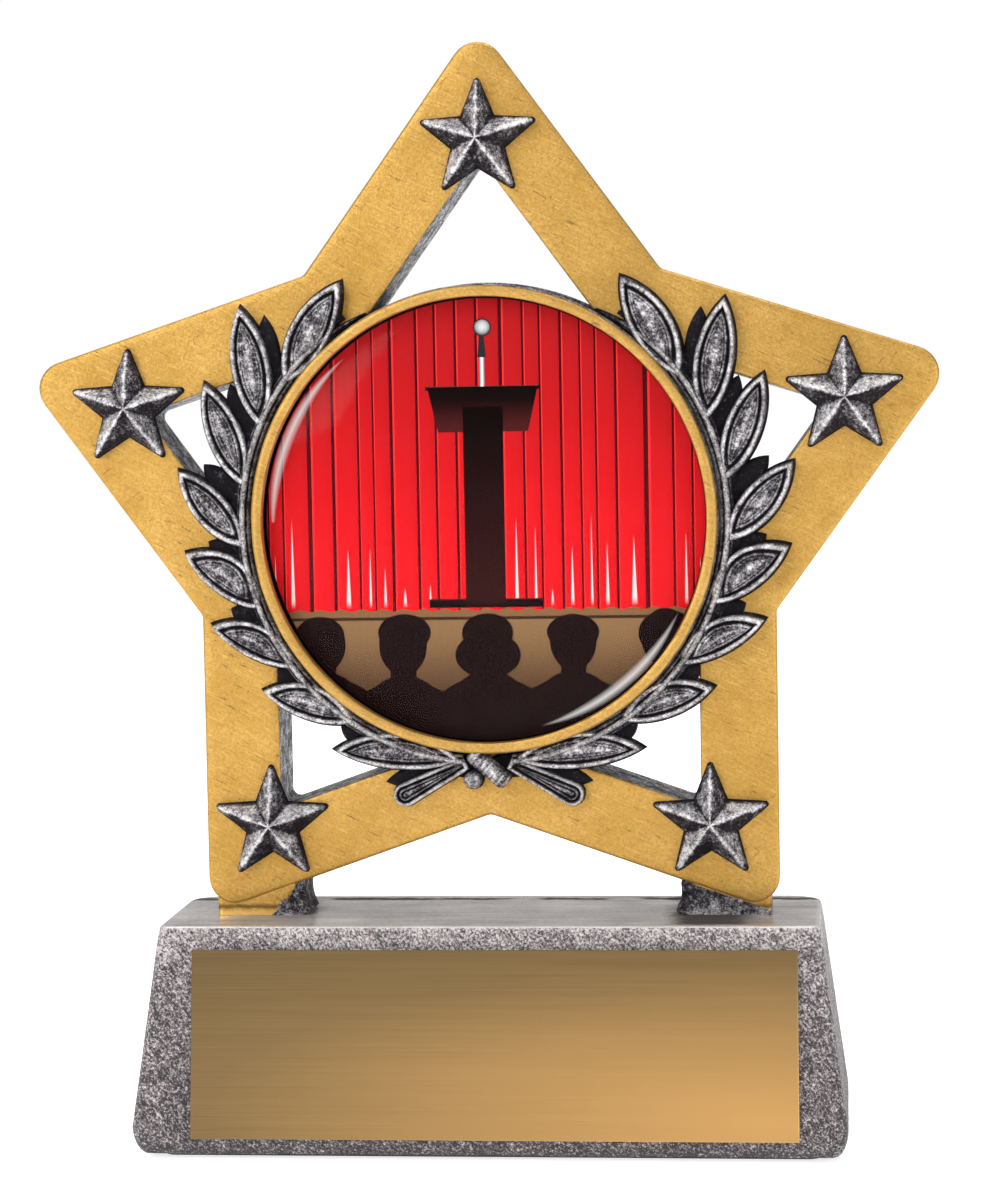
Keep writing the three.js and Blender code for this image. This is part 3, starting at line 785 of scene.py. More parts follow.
FINISH = {
    "star": gilded_star(),
    "rim": gilded_rim(),
    "silver": silver_relief(),
    "foot": silver_foot(),
    "base": grey_base(),
    "brass": brushed_brass(),
    "felt": black_felt(),
    "film": clear_film(),
    "steel": drawn_steel(),
    "dome": clear_dome(),
    "picture": stage_picture(),
}


# ------------------------------------------------------------ the star and what is inside it

def star_bearings():
    """Directions that catch every corner of the star's outlines, and enough between for a smooth face."""
    opening = star_outline(BAND, OPENING_ROUNDING, OPENING_ROUNDING)
    corners = star_outline(0, TIP_ROUNDING, NOTCH_ROUNDING) + opening
    bearings = [math.atan2(v, u) % (2 * math.pi) for u, v in corners]
    for k in range(10):
        start = 90 - FIFTH + k * FIFTH / 2
        spread = np.linspace(math.radians(start), math.radians(start + FIFTH / 2), 400)
        beyond = reach(opening, spread) > BORE
        bearings += [spread[i] % (2 * math.pi) for i in range(399) if beyond[i] != beyond[i + 1]]
    bearings += list(np.linspace(0, 2 * math.pi, 540, endpoint=False))
    bearings = np.sort(np.array(bearings))
    return bearings[np.append(True, np.diff(bearings) > 2e-4)]


def at(height, u, v):
    """A height that is either a number or worked out from the place."""
    return height(u, v) if callable(height) else height


def star_ring(skin, bearings, outline, height, tone, least=0.0):
    """A ring round the star at one inset; it never comes closer to the middle than least."""
    points = []
    for angle, radius in zip(bearings, np.maximum(reach(outline, bearings), least)):
        u, v = radius * math.cos(angle), radius * math.sin(angle)
        points.append((u, v, at(height, u, v)))
    return skin.ring(points, tone)


def star_body():
    """The open star: level back, drafted sides, a small bevel, and a face that rises to the openings."""
    skin = Skin()
    bearings = star_bearings()

    def outer(inset, height, tone):
        rounding = max(TIP_ROUNDING - inset, 0.6)
        outline = star_outline(inset, rounding, NOTCH_ROUNDING + inset * 0.5)
        return star_ring(skin, bearings, outline, height, tone)

    def inner(widen, height, tone):
        outline = star_outline(BAND + widen, OPENING_ROUNDING, OPENING_ROUNDING)
        return star_ring(skin, bearings, outline, height, tone, BORE)

    def between(first, second, share, height, tone):
        """A ring part of the way from one ring to another."""
        points = []
        for i, j in zip(first, second):
            u, v = Vector(skin.points[i][:2]).lerp(Vector(skin.points[j][:2]), share)
            points.append((u, v, at(height, u, v)))
        return skin.ring(points, tone)

    def above(lift):
        return lambda u, v: face_height(u, v) + lift

    walls = [(OUTER_DRAFT + 0.35, BACK, 0.25), (OUTER_DRAFT + 0.08, BACK + 0.12, 0.3),
             (OUTER_DRAFT, BACK + 0.4, 0.3), (OUTER_DRAFT * 0.6, BACK * 0.6, 0.5),
             (OUTER_DRAFT * 0.3, BACK * 0.3, 0.9), (0.04, above(-0.50), 1.0), (0.10, above(-0.22), 1.0),
             (0.26, above(-0.06), 1.0), (0.46, above(0.0), 1.0)]
    rings = [outer(*row) for row in walls]
    outside, inside = rings[-1], inner(-0.22, above(0.0), 1.0)
    rings += [between(outside, inside, k / 12, face_height, 1.0) for k in range(1, 12)]
    rings += [inside, inner(-0.08, above(-0.06), 0.8), inner(0.0, above(-0.28), 0.15)]
    rings += [inner(OPENING_DRAFT * k / 5, BACK * k / 5, 0.0) for k in range(1, 5)]
    rings += [inner(OPENING_DRAFT, BACK + 0.3, 0.0), inner(OPENING_DRAFT - 0.25, BACK, 0.1)]
    rings += [between(rings[-1], rings[0], share, BACK, 0.2) for share in (0.35, 0.805)]
    skin.wrap([*rings, rings[0]])
    hub = turned(skin, [(HUB_RADIUS, HUB_FRONT, 0.0), (HUB_RADIUS, BACK + 0.3, 0.0),
                        (HUB_RADIUS - 0.3, BACK, 0.1), (HUB_RADIUS * 0.6, BACK, 0.2)], 180)
    skin.fan(hub[-1], (0, 0, BACK), 0.2)
    skin.fan(hub[0], (0, 0, HUB_FRONT), 0.2)
    skin.piece("star_body", "star", "gold", ["star_frame"], 50)


def cup_shell():
    """The shallow cup that holds the picture; its outer edge shows as a dark silver line round the rim."""
    skin = Skin()
    floor = PRINT_BACK - 0.8
    rings = turned(skin, [
        (CUP_RADIUS - 0.4, CUP_BACK, 0.3), (CUP_RADIUS, CUP_BACK + 0.4, 0.45), (CUP_RADIUS, -2.4, 0.42),
        (CUP_RADIUS, RIM_BACK - 0.75, 0.40), (CUP_RADIUS + 0.02, RIM_BACK - 0.35, 0.75),
        (CUP_RADIUS - 0.12, RIM_BACK - 0.08, 0.55), (CUP_RADIUS - 0.3, RIM_BACK, 0.05),
        (DISC_RADIUS + 0.2, RIM_BACK, 0.0), (DISC_RADIUS + 0.2, floor, 0.0),
    ], sway=0.03)
    skin.fan(rings[-1], (0, 0, floor), 0.0)
    skin.fan(rings[0], (0, 0, CUP_BACK), 0.3)
    skin.piece("cup_shell", "silver", "antique_silver", ["disc_cup"])


def rim_ring():
    """The gold rim round the picture, a slightly uneven flat ring with soft edges."""
    skin = Skin()
    inner, outer = DISC_RADIUS + 0.03, RIM_RADIUS
    rings = turned(skin, [
        (inner, RIM_BACK, 0.6), (outer - 0.10, RIM_BACK, 0.2), (outer, RIM_BACK + 0.25, 0.35),
        (outer, RIM_FRONT - 0.42, 0.8), (outer - 0.09, RIM_FRONT - 0.16, 1.0),
        (outer - 0.28, RIM_FRONT - 0.02, 1.0), (outer - 0.55, RIM_FRONT, 1.0),
        (inner + 0.20, RIM_FRONT - 0.02, 1.0), (inner + 0.06, RIM_FRONT - 0.12, 0.9),
        (inner, RIM_FRONT - 0.35, 0.8),
    ], steps=360, sway=0.03)
    skin.wrap([rings[-1], rings[0]])
    skin.piece("rim_ring", "rim", "gold", ["gold_rim"])


def picture_print():
    skin = Skin()
    rings = turned(skin, [
        (DISC_RADIUS, PRINT_BACK, 0.5), (DISC_RADIUS, PRINT_FRONT - 0.05, 0.5),
        (DISC_RADIUS - 0.05, PRINT_FRONT, 0.5), (DISC_RADIUS * 0.5, PRINT_FRONT, 0.5),
    ])
    skin.fan(rings[-1], (0, 0, PRINT_FRONT), 0.5)
    skin.fan(rings[0], (0, 0, PRINT_BACK), 0.5)
    skin.piece("picture_print", "picture", "print", ["picture_disc"])


def dome_cover():
    """Poured clear resin: nearly level in the middle and rolling off towards the edge."""
    skin = Skin()
    back = PRINT_FRONT + 0.06
    rise = DOME_FRONT - back
    rings = [skin.ring([(*polar(DISC_RADIUS, 360 * k / 288), back) for k in range(288)], 0.5)]
    shares = [1.0, 0.995, 0.985, 0.97, 0.95, 0.92, 0.88, 0.83, 0.76, 0.66, 0.5, 0.3]
    profile = [(DISC_RADIUS * s, back + rise * (0.10 + 0.90 * (1 - s ** 4)), 0.5) for s in shares]
    rings += turned(skin, profile)
    skin.wrap(rings[:2])
    skin.fan(rings[-1], (0, 0, DOME_FRONT), 0.5)
    skin.fan(rings[0], (0, 0, back), 0.5)
    skin.piece("dome_cover", "dome", "clear_dome", ["dome_lens"], 60)


# ------------------------------------------------------------ relief: leaves, ribbon, small stars

def relief(skin, outline, section):
    """A low relief inside an outline. Each row of the section is how far in from the edge, how high, how
    bright, and how closely it follows the star's face; the last row closes on the outline's middle line."""
    rings = []
    for inset, height, tone, follow in section:
        points = []
        for u, v in outline(inset):
            ground = face_height(u, v) * follow if follow else 0
            lift = 0.05 * wobble(u, v, 1.1, 3.0) if tone > 0.3 else 0
            points.append((u, v, height + ground + lift))
        rings.append(skin.ring(points, tone))
    skin.wrap(rings)
    skin.close(rings[0])


# (in from the edge, height, tone, follows the face)
LEAF_SECTION = [
    (0.10, LEAF_BACK, 0.0, 0),
    (-0.02, -0.7, 0.0, 0),
    (-0.28, 0.02, 0.0, 1),
    (-0.20, 0.16, 0.0, 1),
    (-0.05, 0.35, 0.05, 1),
    (0.00, LEAF_FRONT - 0.55, 0.30, 0),
    (0.08, LEAF_FRONT - 0.18, 0.62, 0),
    (0.24, LEAF_FRONT, 0.84, 0),
    (0.48, LEAF_FRONT - 0.05, 0.72, 0),
    (0.60, LEAF_FRONT - 0.36, 0.20, 0),
    (0.70, LEAF_FRONT - 0.50, -0.20, 0),
    (0.82, LEAF_FRONT - 0.46, -0.10, 0),
    (0.94, LEAF_FRONT - 0.20, 0.46, 0),
    (1.06, LEAF_FRONT - 0.12, 0.62, 0),
    (1.20, LEAF_FRONT - 0.20, 0.22, 0),
    (1.36, LEAF_FRONT - 0.14, 0.52, 0),
    (1.52, LEAF_FRONT - 0.16, 0.34, 0),
]
LEAF_MIDDLE = (LEAF_FRONT - 0.02, 0.66)


def leaf_outline(root, tip, left, right, steps=22):
    """Gives the leaf's outline at any inset: it keeps its curve and draws in from its sides, root and tip."""
    along = tip - root
    length = along.length
    along = along / length
    side = Vector((-along.y, along.x))
    lean, half = (left - right) / 2, (left + right) / 2

    def share(t):
        return 3 * (1 - t) ** 2 * t * 0.25 + 3 * (1 - t) * t * t * 0.72 + t ** 3

    def outline(inset):
        width = max(1 - inset / half, 0)
        start, end = inset * 2.0 / length, 1 - inset * 1.75 / length
        if inset > half:
            start, end = 0.24, 0.80
        points = []
        ways = [(k / steps, -1) for k in range(steps + 1)] + [(k / steps, 1) for k in range(steps - 1, 0, -1)]
        for t, hand in ways:
            swell = 4 * t * (1 - t)
            place = root + along * length * (start + share(t) * (end - start))
            points.append(place + side * (lean + hand * half * width) * swell)
        return points
    return outline


def leaf(skin, root_angle, tip_angle, tip_radius, left, right):
    root = polar(LEAF_ROOT, root_angle)
    tip = polar(tip_radius, tip_angle)
    outline = leaf_outline(root, tip, left, right)
    half = (left + right) / 2
    rows = [row for row in LEAF_SECTION if row[0] < half * 0.8]
    middle = (half + 1, *LEAF_MIDDLE, 0)
    relief(skin, outline, [*rows, middle])


STEM_SECTION = [  # outwards from the cup, height, tone
    (0.02, LEAF_BACK, 0.0), (0.0, 0.3, 0.3), (0.05, 1.35, 0.45), (0.22, 1.62, 0.62), (0.36, 1.45, 0.15),
    (0.46, 1.45, 0.0), (0.58, 1.90, 0.62), (0.85, 2.05, 0.80), (1.10, 1.85, 0.55), (1.22, 1.45, 0.05),
    (1.36, 1.5, 0.35), (1.52, 1.2, 0.2), (1.60, 0.5, 0.0), (1.60, LEAF_BACK, 0.0),
]
STEM_START = -84
STEM_FULL_TO = 41
STEM_END = 61


def stem(skin):
    """The rib that the leaves grow from, next to the cup; above the last leaf it thins out."""
    rings = []
    for angle in np.arange(STEM_START, STEM_END + 0.5, 1.25):
        thin = 1 - max(0, (angle - STEM_FULL_TO) / (STEM_END - STEM_FULL_TO)) * 0.8
        points = []
        for across, height, _ in STEM_SECTION:
            u, v = polar(STEM_INNER + across * thin, angle)
            lift = 0.06 * wobble(u, v, 1.6, 5.0)
            points.append((u, v, height * (0.45 + 0.55 * thin) + lift if height > 0 else height))
        rings.append(skin.ring(points, [tone * thin for _, _, tone in STEM_SECTION]))
    skin.solid(rings)


WEB_SECTION = [  # outwards from the stem, height, tone
    (0.9, -1.2, 0.0), (0.9, 0.5, 0.02), (1.9, 0.62, 0.10),
    (2.7, 0.50, 0.05), (3.2, 0.20, 0.0), (3.3, -1.2, 0.0),
]


def web(skin):
    """The sunk ground between the leaf roots, left black, with a ragged edge towards the gold."""
    rings = []
    for angle in np.arange(-33, 57, 0.9):
        taper = min(1, (angle + 34) / 6, (58 - angle) / 7)
        points = []
        for across, height, _ in WEB_SECTION:
            ragged = (0.5 + 0.5 * wobble(angle * 0.5, across, 1.7, 9.0)) * 0.9
            u, v = polar(STEM_INNER + 0.9 + (across - 0.9) * (0.55 + 0.45 * ragged) * taper, angle)
            lumps = 0.12 * wobble(u, v, 0.9, 2.0) if height > 0.3 else 0
            points.append((u, v, height + lumps))
        rings.append(skin.ring(points, [tone for _, _, tone in WEB_SECTION]))
    skin.solid(rings)


SLIVER_SECTION = [
    (0.10, LEAF_BACK, 0.0, 0),
    (-0.10, -0.6, 0.0, 0),
    (-0.05, 0.10, 0.0, 1),
    (0.10, 0.42, -0.10, 1),
    (0.35, 0.55, 0.0, 1),
]


def slivers(skin):
    """Black ground that fills each gap between neighbouring leaves most of the way to their tips."""
    last = LEAVES[-1]
    gaps = [
        (polar(LEAF_ROOT + 1.2, last[0] + 1), polar(last[2] + 0.6, last[1] - 12.5), 1.3),
        (Vector((0.2, -CUP_RADIUS - 0.7)), Vector((4.6, -CUP_RADIUS - 2.1)), 1.3),
    ]
    for upper, lower in zip(LEAVES, LEAVES[1:]):
        root = polar(LEAF_ROOT + 0.7, upper[0] - 3.5)
        gaps.append((root, polar(lower[2] - 2.6, lower[1] + 1.8), 1.35))
    for root, tip, half in gaps:
        relief(skin, leaf_outline(root, tip, half, half), [*SLIVER_SECTION, (2.5, 0.6, -0.1, 1)])


def mirrored(skin):
    """The same skin with left and right changed over."""
    other = Skin()
    other.points = [(-u, v, w) for u, v, w in skin.points]
    other.tones = skin.tones
    other.faces = [face[::-1] for face in skin.faces]
    return other


def wreath_branch():
    skin = Skin()
    stem(skin)
    web(skin)
    slivers(skin)
    for row in LEAVES:
        leaf(skin, *row)
    return skin


def wreath():
    right = wreath_branch()
    for name, skin in (("right", right), ("left", mirrored(right))):
        skin.piece(f"wreath_{name}", "silver", "antique_silver", [f"laurel_{name}"], 60)


def strap_outline(start, length, root_half, end_half, angle, steps=8):
    """A strap that widens from its root to a round end."""
    def outline(inset):
        begin = min(inset * 1.3, length * 0.6)
        finish = length - max(end_half, 0.1)
        half_root, half_end = max(root_half - inset, 0), max(end_half - inset, 0)
        points = []
        for k in range(steps + 1):
            share = k / steps
            points.append((begin + (finish - begin) * share, -(half_root + (half_end - half_root) * share)))
        for k in range(1, steps):
            turn = math.radians(-90 + 180 * k / steps)
            points.append((finish + half_end * math.cos(turn), half_end * math.sin(turn)))
        for k in range(steps, -1, -1):
            share = k / steps
            points.append((begin + (finish - begin) * share, half_root + (half_end - half_root) * share))
        turn = Matrix.Rotation(math.radians(angle), 2)
        return [turn @ Vector(p) + start for p in points]
    return outline


RIBBON_SECTION = [
    (0.05, -1.2, 0.0, 0), (-0.15, 0.02, 0.0, 1), (-0.10, 0.2, 0.0, 1), (0.0, 1.0, 0.35, 0),
    (0.08, 1.45, 0.85, 0), (0.22, 1.6, 1.0, 0), (0.34, 1.5, 0.7, 0), (0.44, 1.15, 0.0, 0),
    (0.58, 1.05, -0.1, 0), (0.68, 1.3, 0.4, 0), (0.80, 1.5, 0.80, 0), (0.92, 1.25, 0.15, 0),
    (1.04, 1.15, -0.1, 0), (1.2, 1.35, 0.6, 0), (2.0, 1.40, 0.5, 0),
]


def ribbon():
    """Two grooved tails that slope down and outwards from the tie."""
    right = Skin()
    start = Vector((2.4, -CUP_RADIUS - 1.0))
    relief(right, strap_outline(start, 9.2, 0.75, 1.35, -27), RIBBON_SECTION)
    for name, skin in (("left", mirrored(right)), ("right", right)):
        skin.piece(f"ribbon_{name}", "silver", "antique_silver", [f"ribbon_tail_{name}"], 60)


def ribbon_knot():
    """The short band across the tie, ribbed across its length."""
    skin = Skin()
    middle = Vector((0.1, -CUP_RADIUS - 1.5))
    turn = Matrix.Rotation(math.radians(-41), 2)
    half = 2.75
    rings = []
    for k in range(25):
        along = half * (k / 12 - 1)
        end = min(1, (half - abs(along)) / 0.5) ** 0.5 if abs(along) < half else 0.25
        ridge = 0.10 * math.cos(along * 2 * math.pi / 0.62)
        points, tones = [], []
        for m in range(13):
            bend = math.radians(180 * m / 12)
            across = -math.cos(bend) * 1.05 * (0.55 + 0.45 * end)
            height = 0.7 + (2.0 * end + ridge) * math.sin(bend) ** 0.6
            points.append((*(turn @ Vector((along, across)) + middle), height))
            tones.append(0.18 + 0.45 * math.sin(bend) + ridge * 1.6)
        for hand in (1, -1):
            points.append((*(turn @ Vector((along, hand * 0.9)) + middle), -0.8))
            tones.append(0.0)
        rings.append(skin.ring(points, tones))
    skin.solid(rings)
    skin.piece("ribbon_knot", "silver", "antique_silver", ["ribbon_band"], 60)


def stalk_knob():
    """The cut end of a stalk: a small rounded knob below the tie."""
    skin = Skin()
    middle = Vector((-1.7, -CUP_RADIUS - 2.9))
    rings = []
    for radius, height, tone in [(1.15, -0.8, 0.0), (1.20, 0.1, 0.0), (1.12, 0.8, 0.2), (0.95, 1.25, 0.5),
                                 (0.6, 1.5, 0.7), (0.2, 1.58, 0.6)]:
        points = []
        for angle in range(0, 360, 18):
            uneven = Vector((0, 0.1 * wobble(angle, radius, 40)))
            points.append((*(middle + polar(radius, angle) + uneven), height))
        rings.append(skin.ring(points, tone))
    skin.solid(rings)
    skin.piece("stalk_knob", "silver", "antique_silver", ["stem_end"], 60)


def small_star_outline(scale, grow):
    """Points of a small star at a scale, each with its tone: bright ridges, black notches, and facets between
    that carry painted light, lighter the more they face up."""
    steps = 7
    points, tones = [], []
    for tip_way in range(90, 90 + 5 * FIFTH, FIFTH):
        tip = polar(SMALL_STAR_TIP * scale + grow, tip_way)
        soft = min(0.30, 1.2 * scale)
        for hand in (-1, 1):
            notch = polar(SMALL_STAR_NOTCH * scale + grow, tip_way + hand * FIFTH / 2)
            shoulder = tip - polar(soft * 0.55, tip_way) + polar(soft, tip_way + hand * 90)
            # painted light: a facet is the lighter the nearer its outward side turns to 108 degrees, up and a
            # little left
            rubbed = 0.50 + 0.30 * math.cos(math.radians(tip_way + hand * 90 - 108))
            side = [(shoulder.lerp(notch, k / steps), rubbed - 0.16 * k / steps) for k in range(steps)]
            side = [(tip, 0.9), *side, (notch, 0.12)] if hand > 0 else side[::-1]
            points += [place for place, _ in side]
            tones += [tone for _, tone in side]
    return points, tones


def small_star(name, bearing):
    """A cast star with five ridges, blunt tips and a slightly uneven outline."""
    skin = Skin()
    middle = polar(SMALL_STAR_RADIUS, bearing)
    shoulder = 0.72
    # each row: scale, spread at the foot, height, share of the tone, whether it follows the star's face
    rows = [(1.0, 0.0, -0.9, 0.0, 0), (1.0, 0.30, 0.02, 0.0, 1), (1.0, 0.22, 0.16, 0.0, 1),
            (1.0, 0.04, 0.25, 0.0, 1), (1.0, 0.0, shoulder, 0.5, 0)]
    levels = 10
    for k in range(1, levels):
        climb = (k / levels) ** 0.86
        rows.append((1 - k / levels, 0.0, shoulder + (SMALL_STAR_HEIGHT - shoulder) * climb, 1.0, 0))
    rings = []
    for scale, grow, height, shine, follow in rows:
        places, tones = small_star_outline(scale, grow)
        points = []
        for place in places:
            u, v = place + middle
            lift = 0.13 * wobble(u, v, 1.2, 7.0) if shine else 0
            ground = face_height(u, v) if follow else 0
            points.append((u + lift, v - lift * 0.6, height + lift + ground))
        rings.append(skin.ring(points, [tone * shine for tone in tones]))
    skin.wrap(rings)
    skin.close(rings[0])
    skin.fan(rings[-1], (*middle, SMALL_STAR_HEIGHT), 0.9)
    skin.piece(f"small_star_{name}", "silver", "antique_silver", [f"corner_star_{name}"], 55)


# ------------------------------------------------------------ base, feet and plate

def base_ring(skin, width, depth, height, tone, front=FRONT_CORNER, rear=REAR_CORNER, worn=0.0):
    """A level of the block: a rectangle with rounded corners, with points about every millimetre."""
    x, y = width / 2, depth / 2
    corners = [(Vector((x, -y)), front), (Vector((x, y)), rear),
               (Vector((-x, y)), rear), (Vector((-x, -y)), front)]
    coarse = rounded(corners, 8)
    points = []
    for a, b in zip(coarse, coarse[1:] + coarse[:1]):
        length = (b - a).length
        parts = 70 if length > 30 else 22 if length > 10 else 1
        for k in range(parts):
            here = a.lerp(b, k / parts)
            uneven = worn * wobble(here.x + height * 0.5, here.y, 3.0, height * 0.3)
            points.append((here.x + uneven, here.y + uneven * 0.7, height + uneven))
    return skin.ring(points, tone)


def base_body():
    """The block: tucked in under its widest line, sloping in to the top, with worn edges."""
    skin = Skin()
    rings = []

    def level(width, depth, height, tone, worn=0.03, front=FRONT_CORNER, rear=REAR_CORNER):
        rings.append(base_ring(skin, width, depth, height, tone, front, rear, worn))

    girth, depth = GIRTH.x, GIRTH.y
    for tuck, height, tone in [(1.35, 0.0, 0.25), (1.05, 0.06, 0.35), (0.72, 0.45, 0.45), (0.40, 1.05, 0.5),
                               (0.16, 1.80, 0.6), (0.04, 2.5, 0.6), (0.0, GIRTH_HEIGHT - BASE_BOTTOM, 0.6)]:
        level(girth - 2 * tuck, depth - 2 * tuck, BASE_BOTTOM + height, tone)
    slope = 16
    for k in range(1, slope):
        share = k / slope
        height = GIRTH_HEIGHT + (BASE_TOP - GIRTH_HEIGHT) * share
        tone = 0.6 + 0.22 * max(0, share - 0.85) / 0.15
        level(girth + (TOP_WIDTH - girth) * share, depth + (TOP_DEPTH - depth) * share, height, tone)
    # round the top edge the tone rises to 1: wear, and a painted highlight along the edge
    for tuck, drop, tone in [(0.0, 0.55, 0.80), (0.03, 0.32, 0.95), (0.14, 0.12, 1.0), (0.34, 0.02, 1.0),
                             (0.60, 0.0, 0.8)]:
        level(TOP_WIDTH - 2 * tuck + 0.1, TOP_DEPTH - 2 * tuck + 0.1, BASE_TOP - drop, tone, 0.02)
    level(TOP_WIDTH - 3.0, TOP_DEPTH - 3.0, BASE_TOP, 0.6, 0.0, 0.8, 2.2)
    level(TOP_WIDTH - 10.0, TOP_DEPTH - 10.0, BASE_TOP, 0.6, 0.0, 0.4, 0.6)
    skin.solid(rings)
    skin.piece("base_body", "base", "base_lacquer", ["base_block"], 50, as_it_is)


def felt_sheet():
    """The thin felt under the base, slightly smaller at its lower edge."""
    skin = Skin()
    lo, hi = low("felt_pad"), high("felt_pad")
    width, depth = hi.x - lo.x, hi.y - lo.y
    rings = [base_ring(skin, width - 0.3, depth - 0.3, lo.z, 0.5, rear=2.0),
             base_ring(skin, width, depth, lo.z + 0.18, 0.5, rear=2.0, worn=0.03),
             base_ring(skin, width, depth, hi.z, 0.5, rear=2.0, worn=0.03)]
    skin.solid(rings)
    skin.piece("felt_sheet", "felt", "felt", ["felt_pad"], place=as_it_is)


def name_plate():
    """The blank plate on the sloped front, with its edges just broken."""
    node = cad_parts["engraving_plate"]
    left, right = low("engraving_plate").x, high("engraving_plate").x
    section = {(round(v.co.y / MM, 4), round(v.co.z / MM, 4)) for v in node.data.vertices}
    section = sorted(section, key=lambda corner: corner[1])
    bottom, top = Vector(min(section[:2])), Vector(min(section[2:]))
    up = (top - bottom).normalized()
    out = Vector((-up.y, up.x))
    height = (top - bottom).length
    skin = Skin()
    rings = []
    for tuck, proud in [(0.0, -PLATE_THICKNESS), (0.0, -0.10), (0.03, -0.03), (0.10, 0.0), (0.6, 0.0)]:
        start, end = left + tuck, right - tuck
        lower, upper = (bottom + up * rise + out * proud for rise in (tuck, height - tuck))
        points = [(start, *lower), (end, *lower), (end, *upper), (start, *upper)]
        rings.append(skin.ring(points, 0.5))
    skin.solid(rings)
    skin.piece("name_plate", "brass", "plate", ["engraving_plate"], 20, as_it_is)


def lower_edge(across):
    """Height of the star's lower edge, from the star's middle, at a distance to the side."""
    outline = star_outline(0, TIP_ROUNDING, NOTCH_ROUNDING)
    heights = []
    for a, b in zip(outline, outline[1:] + outline[:1]):
        if min(a.x, b.x) <= across <= max(a.x, b.x) and abs(a.x - b.x) > 1e-9 and max(a.y, b.y) < 0:
            heights.append(a.y + (b.y - a.y) * (across - a.x) / (b.x - a.x))
    return min(heights)


def leg_foot(name, hand):
    """The web under a leg: it fills the wedge down to the base and flares a little where it meets it."""
    skin = Skin()
    ground = BASE_TOP - STAR_MIDDLE
    steps = 26
    slices = [(FOOT_BACK, 0.30, 0.2), (FOOT_BACK + 0.25, 0.05, 0.5), (FOOT_BACK + 1.2, 0.0, 0.5),
              (-3.0, 0.0, 0.45), (-1.6, 0.0, 0.5), (FOOT_FRONT - 0.5, 0.0, 0.5),
              (FOOT_FRONT - 0.22, 0.06, 0.8), (FOOT_FRONT, 0.35, 0.55)]
    rings = []
    for depth, tuck, tone in slices:
        inner, outer = FOOT_INNER + tuck, FOOT_OUTER - tuck * 0.5
        span = [inner + (outer - inner) * k / steps for k in range(steps + 1)]
        points, tones = [], []
        for across in span:
            melt = min(max((across - GILT_FROM) / 5.0, 0), 1) * (depth > -1)
            points.append((across, lower_edge(across) + 0.05 + 0.8 * melt))
            tones.append(tone * 0.6)
        for across in reversed(span):
            points.append((across, ground + 0.02))
            tones.append(0.6 if tone > 0.4 else 0.3)
        rise = lower_edge(inner) - ground
        for k in range(1, 10):
            share = k / 10
            flare = 0.95 * (1 - share) ** 3 + 0.25 * share ** 6
            points.append((inner - flare, ground + rise * share))
            tones.append(tone * (0.35 + 0.5 * abs(share - 0.5)))
        ring = []
        for u, v in points:
            lift = 0.07 * wobble(u, v, 1.3, depth)
            ring.append((hand * (u + lift), v, depth + (lift if depth > -1.5 else 0)))
        rings.append(skin.ring(ring, tones))
    skin.solid(rings)
    skin.piece(f"leg_foot_{name}", "foot", "antique_silver", [f"foot_{name}"], 60)


# ------------------------------------------------------------ putting it together

def trophy():
    star_body()
    cup_shell()
    rim_ring()
    picture_print()
    dome_cover()
    wreath()
    ribbon()
    ribbon_knot()
    stalk_knob()
    for name, bearing in ARMS.items():
        small_star(name, bearing)
    base_body()
    felt_sheet()
    name_plate()
    leg_foot("left", -1)
    leg_foot("right", 1)
    hidden = {"plate_adhesive": "film", "disc_adhesive": "film", "pin_left": "steel", "pin_right": "steel"}
    for node, finish in hidden.items():
        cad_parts[node].data.materials.clear()
        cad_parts[node].data.materials.append(FINISH[finish])


# ------------------------------------------------------------ floor, light and camera

FLOOR_HALF = 4.0  # metres
TROPHY_MIDDLE = Vector((0, 0, 0.065))
WHITE = (1, 1, 1, 1)


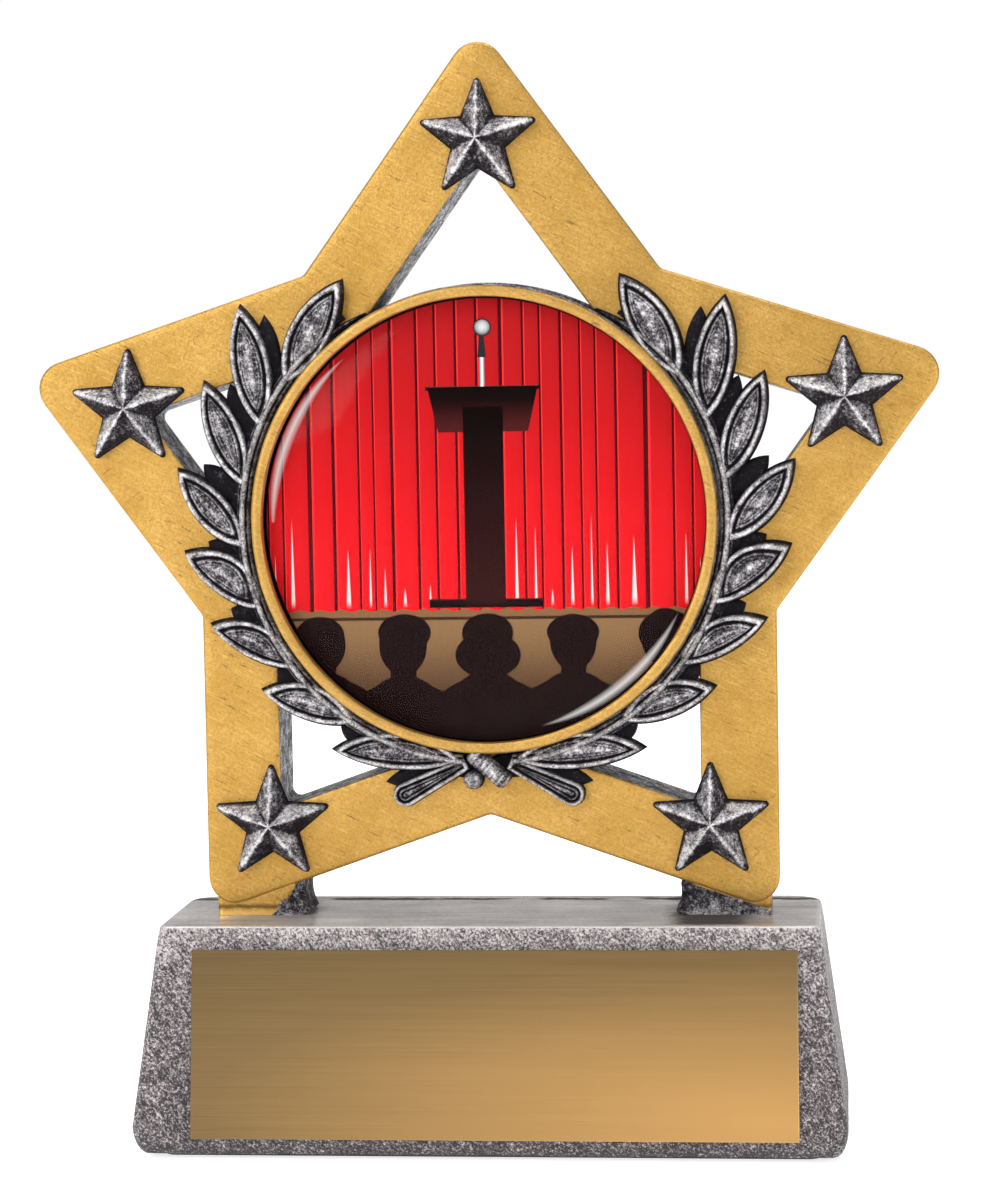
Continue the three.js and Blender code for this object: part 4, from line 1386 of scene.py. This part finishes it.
def pale_floor():
    pot = Pot("pale_floor")
    cloud = pot.grain(60.0, 2, 0.5)
    hue = pot.mix(cloud, (0.72, 0.72, 0.72), (0.75, 0.75, 0.75))
    paint = Paint(hue, cloud * 0.05 + 0.75, 0.0, cloud * 0.001)
    mesh = bpy.data.meshes.new("floor")
    corners = [(x * FLOOR_HALF, y * FLOOR_HALF, 0) for x, y in ((-1, -1), (1, -1), (1, 1), (-1, 1))]
    mesh.from_pydata(corners, [], [(0, 1, 2, 3)])
    mesh.materials.append(paint.dry(pot, **{"Emission Color": WHITE, "Emission Strength": 0.74}))
    stand("floor", mesh)


def soft_light(name, place, size, power):
    """A soft rectangular light that points at the middle of the trophy."""
    lamp = bpy.data.lights.new(name, "AREA")
    lamp.shape = "RECTANGLE"
    lamp.size, lamp.size_y = size
    lamp.energy = power
    light = stand(name, lamp)
    light.location = place
    light.rotation_euler = (TROPHY_MIDDLE - Vector(place)).to_track_quat("-Z", "Y").to_euler()
    light.visible_camera = False


def studio():
    """Even white light from all round, a white backdrop, and three soft lights."""
    sky = Nodes(bpy.data.worlds.new("studio"))
    glow = sky.node("ShaderNodeBackground", {}, {"Color": WHITE, "Strength": 0.40})
    backdrop = sky.node("ShaderNodeBackground", {}, {"Color": WHITE, "Strength": 1.0})
    seen = sky.node("ShaderNodeLightPath", {}, {}, "Is Camera Ray")
    both = sky.node("ShaderNodeMixShader", {}, {0: seen, 1: glow, 2: backdrop})
    sky.node("ShaderNodeOutputWorld", {}, {"Surface": both})
    bpy.context.scene.world = sky.owner
    soft_light("key", (-0.55, -0.75, 0.55), (0.5, 0.7), 7.0)
    soft_light("fill", (0.75, -0.55, 0.25), (0.4, 0.6), 2.6)
    soft_light("top", (0.0, 0.10, 0.9), (0.9, 0.7), 6.0)
    bpy.context.scene.view_settings.view_transform = "Standard"


CAMERA_PLACE = Vector((40.4, -371.1, 87.15))
CAMERA_AZIMUTH = 6.20
CAMERA_ELEVATION = 3.99
CAMERA_ROLL = -1.07
CAMERA_LENS = 99.3


def camera():
    lens = bpy.data.cameras.new("camera")
    lens.lens = CAMERA_LENS
    lens.sensor_width = 36
    azimuth, tilt, roll = (math.radians(a) for a in (CAMERA_AZIMUTH, 90 - CAMERA_ELEVATION, CAMERA_ROLL))
    turn = Matrix.Rotation(azimuth, 4, "Z") @ Matrix.Rotation(tilt, 4, "X") @ Matrix.Rotation(roll, 4, "Z")
    seen = stand("camera", lens)
    seen.matrix_world = Matrix.Translation(CAMERA_PLACE * MM) @ turn
    bpy.context.scene.camera = seen


camera()
trophy()
pale_floor()
studio()
